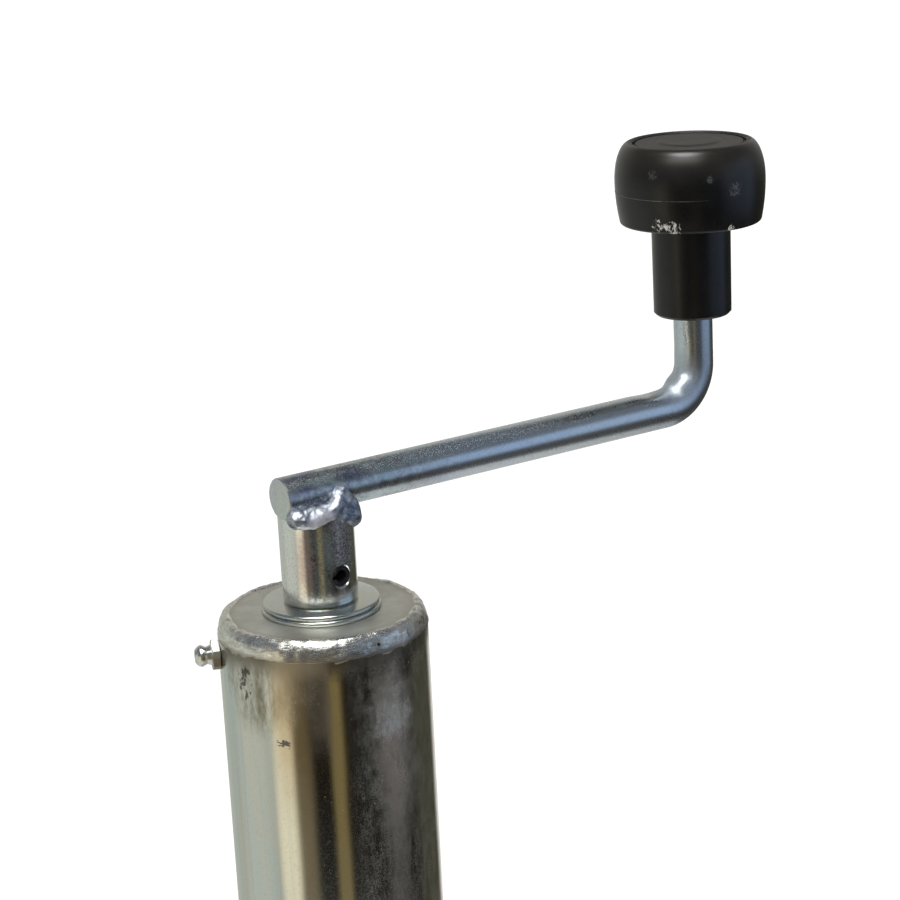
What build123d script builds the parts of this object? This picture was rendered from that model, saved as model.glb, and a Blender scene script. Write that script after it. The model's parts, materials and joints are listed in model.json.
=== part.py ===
"""Heavy jockey wheel: a telescopic screw leg with a cranked handle on top and a swivelling wheel below.

Millimetres. +Z runs up the leg, +X lies under the crank arm and +Y along the wheel's axle.
The origin is on the leg's axis, in the middle of the stretch of outer tube that a clamp grips.
The leg is wound right in, and the wheel trails towards -X.
"""

from build123d import *
import os
from math import cos, pi, radians, sin, sqrt

# Outer leg
outer_tube_d = 60.0
outer_wall = 3.0
clamp_drop = 100.0
clamp_to_guide = 58.0
groove_width = 4.0
groove_depth = 0.8
guide_rise = 32.0

# Cap, its weld and the two washers on it
cap_thickness = 7.0
cap_stand = 5.5
cap_edge_rise = 0.2
race_recess = 0.8
washer_thickness = 1.45
lower_washer_d = 34.2
upper_washer_d = 33.4

# Grease nipple
nipple_drop = 10.5
nipple_angle = 157.0
nipple_thread_d = 6.0
nipple_reach = 6.9
nipple_flats = 8.0
nipple_hex_height = 2.2
nipple_head_d = 6.2
nipple_neck_d = 5.0

# Screw
thread_d = 20.0
thread_pitch = 4.0
crank_turns = 57.25
thread_runout = 9.0
shoulder_d = 30.0
shoulder_height = 5.0
neck_d = 18.0
spigot_d = 15.0
end_stud_d = 12.0
end_washer_d = 32.0
end_washer_thickness = 3.0
end_nut_flats = 18.0
end_nut_height = 10.0
nut_length = 30.0
nut_setback = 4.0
nut_pin_d = 6.0
nut_pin_length = 8.0
nut_pin_count = 3
nut_pin_recess = 0.3

# Roller thrust bearings, one under the cap and one in the swivel
race_bore_d = 21.0
race_d = 37.0
race_thickness = 3.0
roller_d = 3.5
roller_length = 5.6
roller_count = 16
roller_play = 0.03
cage_thickness = 1.8
cage_rim = 0.8

# Crank
collar_d = 21.46
collar_height = 26.6
collar_wall = 3.13
pin_d = 6.0
pin_wall = 1.2
pin_slot = 1.2
pin_rise = 11.7
pin_angle = -83.7
pin_recess = 0.6
rod_d = 12.0
rod_rise = 34.5
rod_overhang = 11.15
arm_length = 138.0
bend_r = 12.7
weld_bead_r = 3.0
weld_blob_r = 4.0
weld_reach = 6.5

# Knob
knob_base_rise = 62.7
stem_low_d = 23.8
stem_top_d = 24.1
head_base_rise = 91.2
head_waist_rise = 104.4
head_top_rise = 116.0
head_d = 45.6
head_base_d = 43.2
head_rim_d = 36.2
head_corner_r = 1.2
knob_cap_d = 34.2
knob_cap_thickness = 3.0
knob_boss_d = 17.0
knob_pad_d = 9.0
retainer_thickness = 1.5
retainer_d = 18.0
retainer_setback = 2.4
knob_pocket_d = 21.0

# Inner leg
guide_gap = 2.0
inner_wall = 3.0
inner_top_drop = 40.0
inner_reveal = 22.0
slot_to_nut = 9.0
slot_end_play = 2.0
guide_nose_d = 8.0
guide_thread_d = 10.0
guide_boss_d = 18.0
guide_boss_height = 8.0
boss_weld_leg = 2.0
guide_nut_flats = 16.0
guide_nut_height = 6.0
guide_head_height = 6.0
guide_head_gap = 2.0
nose_reach = 2.6
bush_length = 22.0
bush_flange = 3.0
top_ring_length = 18.0
top_ring_lip = 2.0
plug_depth = 20.0
plug_flange = 6.0

# Swivel
king_bolt_d = 16.0
king_flats = 24.0
king_head_height = 10.0
king_washer_thickness = 2.5
king_washer_d = 30.0
king_nut_height = 14.0
king_nut_slots = 6
king_bolt_tail = 3.5
split_pin_d = 3.0
cup_base = 2.5
cup_wall = 2.0
cup_gap = 1.0
cup_lip_gap = 0.6
cup_weld_leg = 2.5

# Fork
fork_thickness = 6.0
fork_gap = 72.0
fork_bend = 8.0
crown_front = 30.0
crown_back = 36.0
crown_drop = 34.0
leg_end_r = 21.0
trail = 42.0

# Wheel
tyre_d = 220.0
tyre_width = 60.0
tyre_shoulder_r = 14.0
tyre_crown = 3.0
tread_groove_width = 4.5
tread_groove_depth = 3.5
tread_groove_offset = 11.0
tyre_gap = 4.0
rim_sheet = 2.5
rim_web_d = 104.0
rim_seat_d = 132.0
rim_seat_start = 14.0
rim_seat_end = 22.0
rim_lip_d = 148.0
rim_lip_end = 25.0
rim_bolt_d = 8.0
rim_bolt_count = 4
rim_bolt_circle = 72.0
rim_bolt_flats = 13.0
rim_bolt_head = 5.5
rim_nut_height = 6.5
hub_wall = 3.5
hub_weld_leg = 3.0
hub_length = 62.0
bush_wall = 3.0
wheel_bush_depth = 18.0
wheel_bush_flange = 3.0
axle_d = 16.0
sleeve_wall = 3.0
axle_flats = 24.0
axle_head_height = 10.0
axle_nut_height = 15.0
axle_washer_d = 30.0
axle_washer_thickness = 3.0
axle_tail = 4.0

# Clearances: running is radial between moving pieces, seat between fitted ones
running = 0.08
seat = 0.05
face_gap = 0.05
hole_play = 0.15

# Worked out from the values above, heights from the cap's top face until cap_top is known
travel = thread_pitch * crank_turns
tube_r = outer_tube_d / 2
tube_bore_r = tube_r - outer_wall
inner_r = tube_bore_r - guide_gap
inner_bore_r = inner_r - inner_wall
half_gap = roller_d / 2 + roller_play
bearing_height = 2 * (race_thickness + half_gap)
pitch_r = (race_bore_d + race_d) / 4
nut_top_drop = inner_top_drop + nut_setback
nut_low_drop = nut_top_drop + nut_length
slot_top_drop = nut_low_drop + slot_to_nut
guide_drop = slot_top_drop + slot_end_play + guide_nose_d / 2 + travel
tube_low_drop = guide_drop + guide_rise
clamp_low_drop = guide_drop - clamp_to_guide

cap_top = (clamp_drop + clamp_low_drop) / 2
cap_low = cap_top - cap_thickness
tube_top = cap_top - cap_stand
tube_low = cap_top - tube_low_drop
guide_z = cap_top - guide_drop
bearing_top = cap_low + race_recess
shoulder_top = bearing_top - bearing_height
shoulder_low = shoulder_top - shoulder_height
thread_low = cap_top - nut_low_drop - travel - thread_runout
stud_low = thread_low - end_washer_thickness - end_nut_height - end_stud_d / 3
nut_top = cap_top - nut_top_drop
nut_low = cap_top - nut_low_drop
inner_top = cap_top - inner_top_drop
inner_low = tube_low - inner_reveal
slot_top = cap_top - slot_top_drop
slot_low = guide_z - guide_nose_d / 2 - slot_end_play
plug_top = inner_low + plug_depth
plug_low = inner_low - plug_flange
swivel_top = plug_low + race_recess
cup_top = swivel_top - bearing_height
crown_top = cup_top - cup_base
crown_low = crown_top - fork_thickness
king_nut_top = crown_low - face_gap - king_washer_thickness
king_bolt_low = king_nut_top - king_nut_height - king_bolt_tail
wheel_z = king_bolt_low - tyre_gap - tyre_d / 2
collar_low = cap_top + 2 * washer_thickness + 3 * face_gap / 2
rod_z = cap_top + rod_rise
pin_z = cap_top + pin_rise
spigot_top = rod_z - rod_d / 2 - 1.5
rod_top = cap_top + head_top_rise - knob_cap_thickness - knob_pad_d / 2
sleeve_r = axle_d / 2 + seat + sleeve_wall
hub_bore_r = sleeve_r + running + bush_wall
hub_r = hub_bore_r + hub_wall
fork_outer = fork_gap / 2 + fork_thickness


def disc(r, low, high):
    """A cylinder on the leg's axis between two heights."""
    return Pos(0, 0, low) * Cylinder(r, high - low, align=(Align.CENTER, Align.CENTER, Align.MIN))


def ring(bore_r, r, low, high):
    """A plain ring on the leg's axis."""
    return disc(r, low, high) - disc(bore_r, low - 1, high + 1)


def turned(points):
    """A body turned about the leg's axis from straight lines through (radius, height) points."""
    outline = Polyline(*[(r, 0, z) for r, z in points], close=True)
    return revolve(make_face(outline), Axis.Z)


def ease_ends(shape, size):
    """The circular edges of a shape's highest and lowest ends, broken by a small chamfer."""
    rims = shape.edges().filter_by(GeomType.CIRCLE).group_by(Axis.Z)
    return chamfer(rims[0] + rims[-1], size)


def hex_block(flats, height, bore_r=0.0):
    """A hexagon standing on XY, its corners bevelled at the upper end as on a nut or a bolt head."""
    block = extrude(RegularPolygon(flats / 2, 6, major_radius=False), height)
    corner_r = flats / sqrt(3)
    bevel = (corner_r - flats / 2) / 2
    turning = Cylinder(corner_r, height, align=(Align.CENTER, Align.CENTER, Align.MIN))
    turning = chamfer(turning.edges().group_by(Axis.Z)[-1], bevel, 1.6 * bevel)
    block = block & turning
    if bore_r:
        block -= Cylinder(bore_r, 3 * height)
    return block


def radial(angle, z, reach):
    """A plane whose normal points out of the leg at an angle about Z, at a distance from the axis."""
    out = Vector(cos(radians(angle)), sin(radians(angle)), 0)
    return Plane(origin=out * reach + Vector(0, 0, z), x_dir=(0, 0, 1), z_dir=out)


def across(y):
    """A plane at a place along the axle, facing +Y."""
    return Plane(origin=(-trail, y, wheel_z), x_dir=(1, 0, 0), z_dir=(0, 1, 0))


def across_out(side):
    """The planes that face away from the wheel on one side, as a function of distance."""
    return lambda y: Plane(origin=(-trail, side * y, wheel_z), x_dir=(side, 0, 0), z_dir=(0, side, 0))


def drum(r, low, high, bore_r=0.0):
    """A cylinder or a ring about the axle between two places along it."""
    body = Cylinder(r, high - low, align=(Align.CENTER, Align.CENTER, Align.MIN))
    if bore_r:
        body -= Cylinder(bore_r, 3 * (high - low))
    return across(low) * body


# Thrust bearing
def race(low):
    """A flat hardened washer that the rollers run on."""
    return ease_ends(ring(race_bore_d / 2, race_d / 2, low, low + race_thickness), 0.4)


def rollers(mid_z):
    """The ring of loose rollers, each its own solid, lying like spokes."""
    roller = Rot(Y=90) * Cylinder(roller_d / 2, roller_length)
    places = Pos(0, 0, mid_z) * PolarLocations(pitch_r, roller_count)
    return Compound([place * roller for place in places])


def cage(mid_z):
    """The flat ring with a window for each roller."""
    half_width = roller_length / 2 + hole_play + cage_rim
    low, high = mid_z - cage_thickness / 2, mid_z + cage_thickness / 2
    blank = ring(pitch_r - half_width, pitch_r + half_width, low, high)
    window = Box(roller_length + 2 * hole_play, roller_d + 2 * hole_play, 3 * cage_thickness)
    for place in Pos(0, 0, mid_z) * PolarLocations(pitch_r, roller_count):
        blank -= place * window
    return blank


# Outer leg
def outer_tube():
    tube = ring(tube_bore_r, tube_r, tube_low, tube_top)
    tube = chamfer(tube.edges().group_by(Axis.Z)[0], 0.5)
    for drop in (clamp_drop, clamp_low_drop):
        z = cap_top - drop
        tube -= turned(
            [
                (tube_r + 1, z - groove_width / 2 - 1),
                (tube_r - groove_depth, z - groove_width / 4),
                (tube_r - groove_depth, z + groove_width / 4),
                (tube_r + 1, z + groove_width / 2 + 1),
            ]
        )
    tube -= radial(nipple_angle, cap_top - nipple_drop, tube_r) * Cylinder(nipple_thread_d / 2 + seat, 12)
    tube -= radial(180, guide_z, tube_r) * Cylinder(guide_thread_d / 2 + seat, 12)
    return tube


def top_cap():
    cap = disc(tube_bore_r - seat, cap_low, cap_top)
    cap -= disc(neck_d / 2 + running, cap_low - 1, cap_top + 1)
    return cap - disc(race_d / 2 + seat, cap_low - 1, bearing_top)


def cap_weld():
    """The bead in the corner between the cap's rim and the tube's end, its outside rounded."""
    inner_rim = tube_bore_r - seat
    crest_z = cap_top + cap_edge_rise
    quarter = EllipticalCenterArc((0, 0), tube_r - inner_rim, crest_z - tube_top, arc_size=90)
    corner = Plane(origin=(inner_rim, 0, tube_top), x_dir=(1, 0, 0), z_dir=(0, -1, 0))
    legs = Polyline((inner_rim, 0, crest_z), (inner_rim, 0, tube_top), (tube_r, 0, tube_top))
    return revolve(make_face(corner * quarter + legs), Axis.Z)


def lower_washer():
    low = cap_top + face_gap / 2
    blank = ring(neck_d / 2 + hole_play, lower_washer_d / 2, low, low + washer_thickness)
    return ease_ends(blank, 0.3)


def grease_nipple():
    """Threaded stub, hexagon, waist and ball head, standing out of the tube's wall."""
    head_r = nipple_head_d / 2
    stub_r = nipple_thread_d / 2
    mouth_r = head_r / 4
    nose = nipple_reach - nipple_hex_height
    outline = Polyline(
        (0, 0, -outer_wall),
        (stub_r, 0, -outer_wall),
        (stub_r, 0, nipple_hex_height),
        (nipple_neck_d / 2, 0, nipple_hex_height + 0.30 * nose),
        (head_r * 0.94, 0, nipple_hex_height + 0.48 * nose),
        (head_r, 0, nipple_hex_height + 0.56 * nose),
        (head_r, 0, nipple_hex_height + 0.68 * nose),
        (head_r * 0.88, 0, nipple_hex_height + 0.84 * nose),
        (head_r * 0.60, 0, nipple_reach),
        (mouth_r, 0, nipple_reach),
        (mouth_r, 0, nipple_reach - 1),
        (0, 0, nipple_reach - 1),
        close=True,
    )
    body = revolve(make_face(outline), Axis.Z) + hex_block(nipple_flats, nipple_hex_height)
    return radial(nipple_angle, cap_top - nipple_drop, tube_r) * body


def guide_boss():
    """The threaded boss welded on the tube, coped to its curve."""
    boss = Cylinder(guide_boss_d / 2, 2 * guide_boss_height)
    boss = chamfer(boss.edges().group_by(Axis.Z)[-1], 1.5)
    boss -= Cylinder(guide_thread_d / 2 + seat, 4 * guide_boss_height)
    return radial(180, guide_z, tube_r) * boss - disc(tube_r, tube_low, tube_top)


def boss_weld():
    """The fillet weld round the boss's foot."""
    fillet_r = guide_boss_d / 2 + boss_weld_leg
    height = boss_weld_leg + tube_r - sqrt(tube_r**2 - fillet_r**2)
    bead = Cone(fillet_r, guide_boss_d / 2, height, align=(Align.CENTER, Align.CENTER, Align.MIN))
    bead -= Cylinder(guide_boss_d / 2, 4 * height)
    foot = radial(180, guide_z, tube_r - height + boss_weld_leg) * bead
    return foot - disc(tube_r, tube_low, tube_top)


def guide_screw():
    """A headed screw with a plain nose, which runs in the inner tube's slot and stops it turning."""
    nose_end = inner_bore_r + inner_wall - nose_reach
    head_start = tube_r + guide_boss_height + guide_nut_height + guide_head_gap
    shank = Cylinder(
        guide_thread_d / 2, head_start - tube_bore_r, align=(Align.CENTER, Align.CENTER, Align.MIN)
    )
    nose = Cylinder(
        guide_nose_d / 2, tube_bore_r - nose_end + 1, align=(Align.CENTER, Align.CENTER, Align.MIN)
    )
    nose = chamfer(nose.edges().group_by(Axis.Z)[0], 0.6)
    head = hex_block(guide_nut_flats - 2, guide_head_height)
    return (
        radial(180, guide_z, tube_bore_r) * shank
        + radial(180, guide_z, nose_end) * nose
        + radial(180, guide_z, head_start) * head
    )


def guide_lock_nut():
    nut = hex_block(guide_nut_flats, guide_nut_height, guide_thread_d / 2 + seat)
    return radial(180, guide_z, tube_r + guide_boss_height) * nut


def lower_bush():
    """The plastic bush in the tube's mouth, with a flange under the tube's end."""
    bore = inner_r + running
    top = tube_low + bush_length
    low = tube_low - bush_flange
    return turned(
        [
            (bore, low + 1),
            (bore + 1, low),
            (tube_r - 0.8, low),
            (tube_r, low + 0.8),
            (tube_r, tube_low),
            (tube_bore_r - seat, tube_low),
            (tube_bore_r - seat, top),
            (bore + 0.8, top),
            (bore, top - 0.8),
        ]
    )


# Crank and screw
def spindle():
    """Spigot for the collar, neck through the cap, shoulder under the bearing, thread and end stud."""
    neck_top = collar_low - face_gap
    race_seat_r = race_bore_d / 2 - seat
    race_seat_top = shoulder_top + race_thickness * 0.7
    blank = turned(
        [
            (0, stud_low),
            (end_stud_d / 2 - 1, stud_low),
            (end_stud_d / 2, stud_low + 1),
            (end_stud_d / 2, thread_low),
            (thread_d / 2 - 1.5, thread_low),
            (thread_d / 2, thread_low + 1.5),
            (thread_d / 2, shoulder_low - 4),
            (thread_d / 2 - thread_pitch / 2, shoulder_low - 3),
            (thread_d / 2 - thread_pitch / 2, shoulder_low),
            (shoulder_d / 2 - 0.8, shoulder_low),
            (shoulder_d / 2, shoulder_low + 0.8),
            (shoulder_d / 2, shoulder_top),
            (race_seat_r, shoulder_top),
            (race_seat_r, race_seat_top),
            (neck_d / 2, race_seat_top),
            (neck_d / 2, neck_top),
            (spigot_d / 2, neck_top),
            (spigot_d / 2, spigot_top - 0.8),
            (spigot_d / 2 - 0.8, spigot_top),
            (0, spigot_top),
        ]
    )
    return blank - radial(pin_angle, pin_z, 0) * Cylinder(pin_d / 2 + seat, 2 * collar_d)


def spindle_end_washer():
    blank = ring(end_stud_d / 2 + seat, end_washer_d / 2, thread_low - end_washer_thickness, thread_low)
    return ease_ends(blank, 0.4)


def spindle_end_nut():
    nut = hex_block(end_nut_flats, end_nut_height, end_stud_d / 2 + seat)
    return Pos(0, 0, thread_low - end_washer_thickness) * Rot(X=180) * nut


def upper_washer():
    low = cap_top + washer_thickness + face_gap
    blank = ring(neck_d / 2 + hole_play, upper_washer_d / 2, low, low + washer_thickness)
    return ease_ends(blank, 0.3)


def rod_blank(r):
    """The bent bar of the crank, from its cut end behind the collar to its end inside the knob."""
    path = FilletPolyline(
        (-rod_overhang, 0, rod_z),
        (arm_length, 0, rod_z),
        (arm_length, 0, rod_top),
        radius=bend_r,
    )
    section = Plane(origin=(-rod_overhang, 0, rod_z), z_dir=(1, 0, 0)) * Circle(r)
    return sweep(section, path=path)


def crank_rod():
    rod = chamfer(rod_blank(rod_d / 2).edges().group_by(Axis.Z)[-1], 0.8)
    groove_z = rod_top - retainer_setback - retainer_thickness
    groove = Pos(arm_length, 0, 0) * ring(
        rod_d / 2 - 0.7, rod_d, groove_z, groove_z + retainer_thickness
    )
    return rod - groove


def crank_collar():
    """The sleeve on the spindle's spigot, hollowed at the top to the rod that lies across it."""
    top = collar_low + collar_height
    bore_r = collar_d / 2 - collar_wall
    sleeve = ring(max(bore_r, spigot_d / 2 + seat), collar_d / 2, collar_low, top)
    sleeve = chamfer(sleeve.edges().group_by(Axis.Z)[0].sort_by(SortBy.LENGTH)[-1], 0.6)
    sleeve -= Plane(origin=(0, 0, rod_z), z_dir=(1, 0, 0)) * Cylinder(rod_d / 2 + seat, 3 * collar_d)
    sleeve -= radial(pin_angle, pin_z, 0) * Cylinder(pin_d / 2 + seat, 2 * collar_d)
    for angle in (pin_angle, pin_angle + 180):
        sleeve -= radial(angle, pin_z, collar_d / 2 - 0.15) * Cone(pin_d / 2, pin_d / 2 + 0.8, 0.8)
    return sleeve


def crank_weld():
    """A run of weld along each side of the rod where it lies on the collar, with a heavy blob at one end."""
    z = collar_low + collar_height - 0.4
    y = (rod_d / 2 + collar_d / 2) / 2
    run = Rot(Y=90) * Cylinder(weld_bead_r, 2 * weld_reach)
    solid = None
    for side in (-1, 1):
        bead = Pos(0, side * y, z) * run
        bead += Pos(-weld_reach, side * y, z) * Sphere(weld_bead_r)
        bead += Pos(weld_reach + 1.2, side * (y - 1.2), z) * Sphere(weld_blob_r)
        solid = bead if solid is None else solid + bead
    solid -= Plane(origin=(0, 0, rod_z), z_dir=(1, 0, 0)) * Cylinder(rod_d / 2, 3 * collar_d)
    return solid - disc(collar_d / 2, collar_low, collar_low + collar_height)


def collar_pin():
    """A slotted spring pin through the collar and the spigot, a little below flush."""
    length = collar_d - 2 * pin_recess
    pin = Cylinder(pin_d / 2, length) - Cylinder(pin_d / 2 - pin_wall, 2 * length)
    pin -= Pos(0, pin_d / 2, 0) * Box(pin_slot, pin_d, 2 * length)
    return radial(pin_angle, pin_z, 0) * pin


def knob_retainer():
    """The spring ring in the rod's groove, over the floor of the knob's pocket."""
    low = rod_top - retainer_setback - retainer_thickness
    clip = ring(rod_d / 2 - 0.6, retainer_d / 2, low + 0.1, low + retainer_thickness - 0.1)
    mouth = Pos(retainer_d / 2, 0, low) * Box(retainer_d, rod_d * 0.5, 4 * retainer_thickness)
    return Pos(arm_length, 0, 0) * (clip - mouth)


# Knob
def knob_body():
    """A grip turned all over, with a stem, a rounded head and a pocket under its lid."""
    base = cap_top + knob_base_rise
    head_base = cap_top + head_base_rise
    waist = cap_top + head_waist_rise
    top = cap_top + head_top_rise
    bore_r = rod_d / 2 + running
    pocket_floor = rod_top - retainer_setback - retainer_thickness - hole_play
    lid_floor = top - knob_cap_thickness
    rim_r = head_rim_d / 2
    head_r = head_d / 2
    base_r = head_base_d / 2
    lid_r = knob_cap_d / 2 + seat
    outside = Polyline(
        (bore_r, 0, base),
        (stem_low_d / 2 - 0.8, 0, base),
        (stem_low_d / 2, 0, base + 0.8),
        (stem_top_d / 2, 0, head_base),
        (base_r - head_corner_r, 0, head_base),
    )
    corner_top = head_base + head_corner_r
    corner = ThreePointArc(
        (base_r - head_corner_r, 0, head_base),
        (base_r - head_corner_r * (1 - sin(pi / 4)), 0, corner_top - head_corner_r * cos(pi / 4)),
        (base_r, 0, corner_top),
    )
    side = ThreePointArc(
        (base_r, 0, corner_top),
        (head_r - (head_r - base_r) / 4, 0, (waist + corner_top) / 2),
        (head_r, 0, waist),
    )
    quarter = EllipticalCenterArc((0, 0), head_r - rim_r, top - waist, arc_size=90)
    upper_curve = Plane(origin=(rim_r, 0, waist), x_dir=(1, 0, 0), z_dir=(0, -1, 0)) * quarter
    inside = Polyline(
        (rim_r, 0, top),
        (lid_r + 0.5, 0, top),
        (lid_r, 0, top - 0.5),
        (lid_r, 0, lid_floor),
        (knob_pocket_d / 2, 0, lid_floor),
        (knob_pocket_d / 2, 0, pocket_floor),
        (bore_r, 0, pocket_floor),
        (bore_r, 0, base),
    )
    outline = outside + corner + side + upper_curve + inside
    return Pos(arm_length, 0, 0) * revolve(make_face(outline), Axis.Z)


def knob_cap():
    """The lid pressed into the head, with a low boss; the pad below it rests on the rod's end."""
    top = cap_top + head_top_rise
    lid_r = knob_cap_d / 2
    low = top - knob_cap_thickness
    lid = turned(
        [
            (0, rod_top + hole_play),
            (knob_pad_d / 2, rod_top + hole_play),
            (knob_pad_d / 2, low),
            (lid_r, low),
            (lid_r, top - 1.2),
            (lid_r - 0.4, top - 1.2),
            (lid_r - 0.9, top - 0.5),
            (knob_boss_d / 2 + 1.6, top - 0.5),
            (knob_boss_d / 2, top - 0.15),
            (0, top - 0.15),
        ]
    )
    return Pos(arm_length, 0, 0) * lid


# Inner leg
def inner_tube():
    """The sliding tube, with the long slot that the guide screw's nose runs in."""
    tube = ease_ends(ring(inner_bore_r, inner_r, inner_low, inner_top), 0.4)
    width = guide_nose_d + 2 * hole_play
    middle = (slot_top + slot_low) / 2
    slot = extrude(SlotOverall(slot_top - slot_low, width), 4 * inner_wall, both=True)
    tube -= radial(180, middle, inner_r) * slot
    return tube - nut_pin_blanks(seat)


def nut_pin_blanks(extra):
    """The radial pins that hold the nut, as plain cylinders of their size plus extra all round."""
    middle = (nut_top + nut_low) / 2
    length = nut_pin_length + 2 * extra
    pin = Cylinder(nut_pin_d / 2 + extra, length, align=(Align.CENTER, Align.CENTER, Align.MAX))
    angles = [360 / nut_pin_count * i for i in range(nut_pin_count)]
    return [radial(angle, middle, inner_r - nut_pin_recess + extra) * pin for angle in angles]


def nut_pins():
    return Compound(nut_pin_blanks(0))


def spindle_nut():
    """The long nut fixed in the top of the inner tube."""
    nut = ring(thread_d / 2 + running, inner_bore_r - seat, nut_low, nut_top)
    nut = ease_ends(nut, 1.0)
    return nut - nut_pin_blanks(seat)


def top_ring():
    """The plastic ring that steadies the inner tube's top in the outer tube's bore."""
    low = inner_top - top_ring_length
    high = inner_top + top_ring_lip
    bore_r = inner_r + seat
    return turned(
        [
            (bore_r, low),
            (tube_bore_r - running - 0.6, low),
            (tube_bore_r - running, low + 0.6),
            (tube_bore_r - running, high - 0.6),
            (tube_bore_r - running - 0.6, high),
            (inner_bore_r + 0.5, high),
            (inner_bore_r + 0.5, inner_top),
            (bore_r, inner_top),
        ]
    )


def swivel_plug():
    """The turned plug welded into the inner tube's foot, which the king bolt goes through."""
    plug = turned(
        [
            (king_bolt_d / 2 + seat, plug_low),
            (inner_r - 1, plug_low),
            (inner_r, plug_low + 1),
            (inner_r, inner_low - 2),
            (inner_r - 2, inner_low),
            (inner_bore_r - seat, inner_low),
            (inner_bore_r - seat, plug_top - 1),
            (inner_bore_r - seat - 1, plug_top),
            (king_bolt_d / 2 + seat, plug_top),
        ]
    )
    return plug - disc(race_d / 2 + seat, plug_low - 1, swivel_top)


def plug_weld():
    """The bead in the vee between the plug's flange and the inner tube's end."""
    toe_low = (inner_r, 0, inner_low - 2)
    toe_high = (inner_r, 0, inner_low + 1.5)
    crest = (inner_r + 0.9, 0, inner_low - 0.3)
    root = (inner_r - 2, 0, inner_low)
    outline = ThreePointArc(toe_low, crest, toe_high) + Polyline(
        toe_high, (inner_r, 0, inner_low + 0.4), (inner_r - 0.4, 0, inner_low), root, toe_low
    )
    return revolve(make_face(outline), Axis.Z)


# Swivel
def king_bolt():
    """The swivel's pivot: its head inside the tube, its tail drilled for a split pin."""
    shank = disc(king_bolt_d / 2, king_bolt_low, plug_top)
    shank = chamfer(shank.edges().group_by(Axis.Z)[0], 1.2)
    head = Pos(0, 0, plug_top) * hex_block(king_flats, king_head_height)
    pin_hole = Rot(X=90) * Cylinder(split_pin_d / 2 + seat, 2 * king_flats)
    return shank + head - Pos(0, 0, split_pin_z()) * pin_hole


def split_pin_z():
    """The height of the split pin, in the slots of the castle nut."""
    return king_nut_top - king_nut_height + split_pin_d / 2 + 0.6


def king_washer():
    low = crown_low - face_gap - king_washer_thickness
    blank = ring(king_bolt_d / 2 + seat, king_washer_d / 2, low, low + king_washer_thickness)
    return ease_ends(blank, 0.4)


def king_nut():
    """A castle nut under the fork's crown."""
    nut = hex_block(king_flats, king_nut_height, king_bolt_d / 2 + seat)
    slot_depth = split_pin_d + 1.2
    cut = Pos(0, 0, king_nut_height) * Box(split_pin_d + 0.8, 2 * king_flats, 2 * slot_depth)
    for i in range(king_nut_slots // 2):
        nut -= Rot(Z=360 / king_nut_slots * i) * cut
    return Pos(0, 0, king_nut_top) * Rot(X=180) * nut


def split_pin():
    """Bent over at both ends, against the nut's sides."""
    out = king_flats / 2 + split_pin_d / 2 + 0.2
    z = split_pin_z()
    start = (0, -out, z + 7)
    path = FilletPolyline(start, (0, -out, z), (0, out, z), (0, out, z + 5), radius=split_pin_d * 0.55)
    return sweep(Plane(origin=start, z_dir=(0, 0, -1)) * Circle(split_pin_d / 2), path=path)


def swivel_cup():
    """The cup on the crown that carries the lower race and keeps dirt off the rollers."""
    lip = plug_low - cup_lip_gap
    cup_r = race_d / 2 + cup_gap
    return turned(
        [
            (king_bolt_d / 2 + hole_play, crown_top),
            (cup_r + cup_wall, crown_top),
            (cup_r + cup_wall, lip),
            (cup_r, lip),
            (cup_r, cup_top + 1.5),
            (race_d / 2 + seat, cup_top + 1.5),
            (race_d / 2 + seat, cup_top),
            (king_bolt_d / 2 + hole_play, cup_top),
        ]
    )


def cup_weld():
    """The fillet weld that holds the cup down on the crown."""
    foot_r = race_d / 2 + cup_gap + cup_wall
    leg = cup_weld_leg
    return turned([(foot_r, crown_top), (foot_r + leg, crown_top), (foot_r, crown_top + leg)])


# Fork
def fork():
    """One plate bent down on both sides, tapering to a round end about the axle."""
    height = crown_top - wheel_z + leg_end_r
    width = 2 * fork_outer
    length = 4 * (crown_front + crown_back + trail)
    outer = Pos(0, 0, crown_top - height) * Box(
        length, width, height, align=(Align.CENTER, Align.CENTER, Align.MIN)
    )
    inner = Pos(0, 0, crown_top - height - 1) * Box(
        length, fork_gap, height - fork_thickness + 1, align=(Align.CENTER, Align.CENTER, Align.MIN)
    )
    top_edges = outer.edges().filter_by(Axis.X).group_by(Axis.Z)[-1]
    outer = fillet(top_edges, fork_bend + fork_thickness)
    inner_edges = inner.edges().filter_by(Axis.X).group_by(Axis.Z)[-1]
    inner = fillet(inner_edges, fork_bend)
    side = Plane(origin=(0, 0, 0), x_dir=(1, 0, 0), z_dir=(0, -1, 0))
    crown = Pos((crown_front - crown_back) / 2, crown_top - crown_drop / 2) * RectangleRounded(
        crown_front + crown_back, crown_drop, 8
    )
    foot = Pos(-trail, wheel_z) * Circle(leg_end_r)
    silhouette = make_hull(crown.edges() + foot.edges())
    blade = extrude(side * silhouette, width, both=True)
    plate = (outer - inner) & blade
    plate -= disc(king_bolt_d / 2 + running, crown_low - 1, crown_top + 1)
    return plate - across(0) * Cylinder(axle_d / 2 + seat, 4 * width)


# Wheel
def axle_bolt():
    out = across_out(-1)
    head_start = fork_outer + axle_washer_thickness
    tail = fork_outer + axle_washer_thickness + axle_nut_height + axle_tail
    shank = Cylinder(axle_d / 2, head_start + tail, align=(Align.CENTER, Align.CENTER, Align.MIN))
    shank = chamfer(shank.edges().group_by(Axis.Z)[-1], 1.2)
    return across(-head_start) * shank + out(head_start) * hex_block(axle_flats, axle_head_height)


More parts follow.
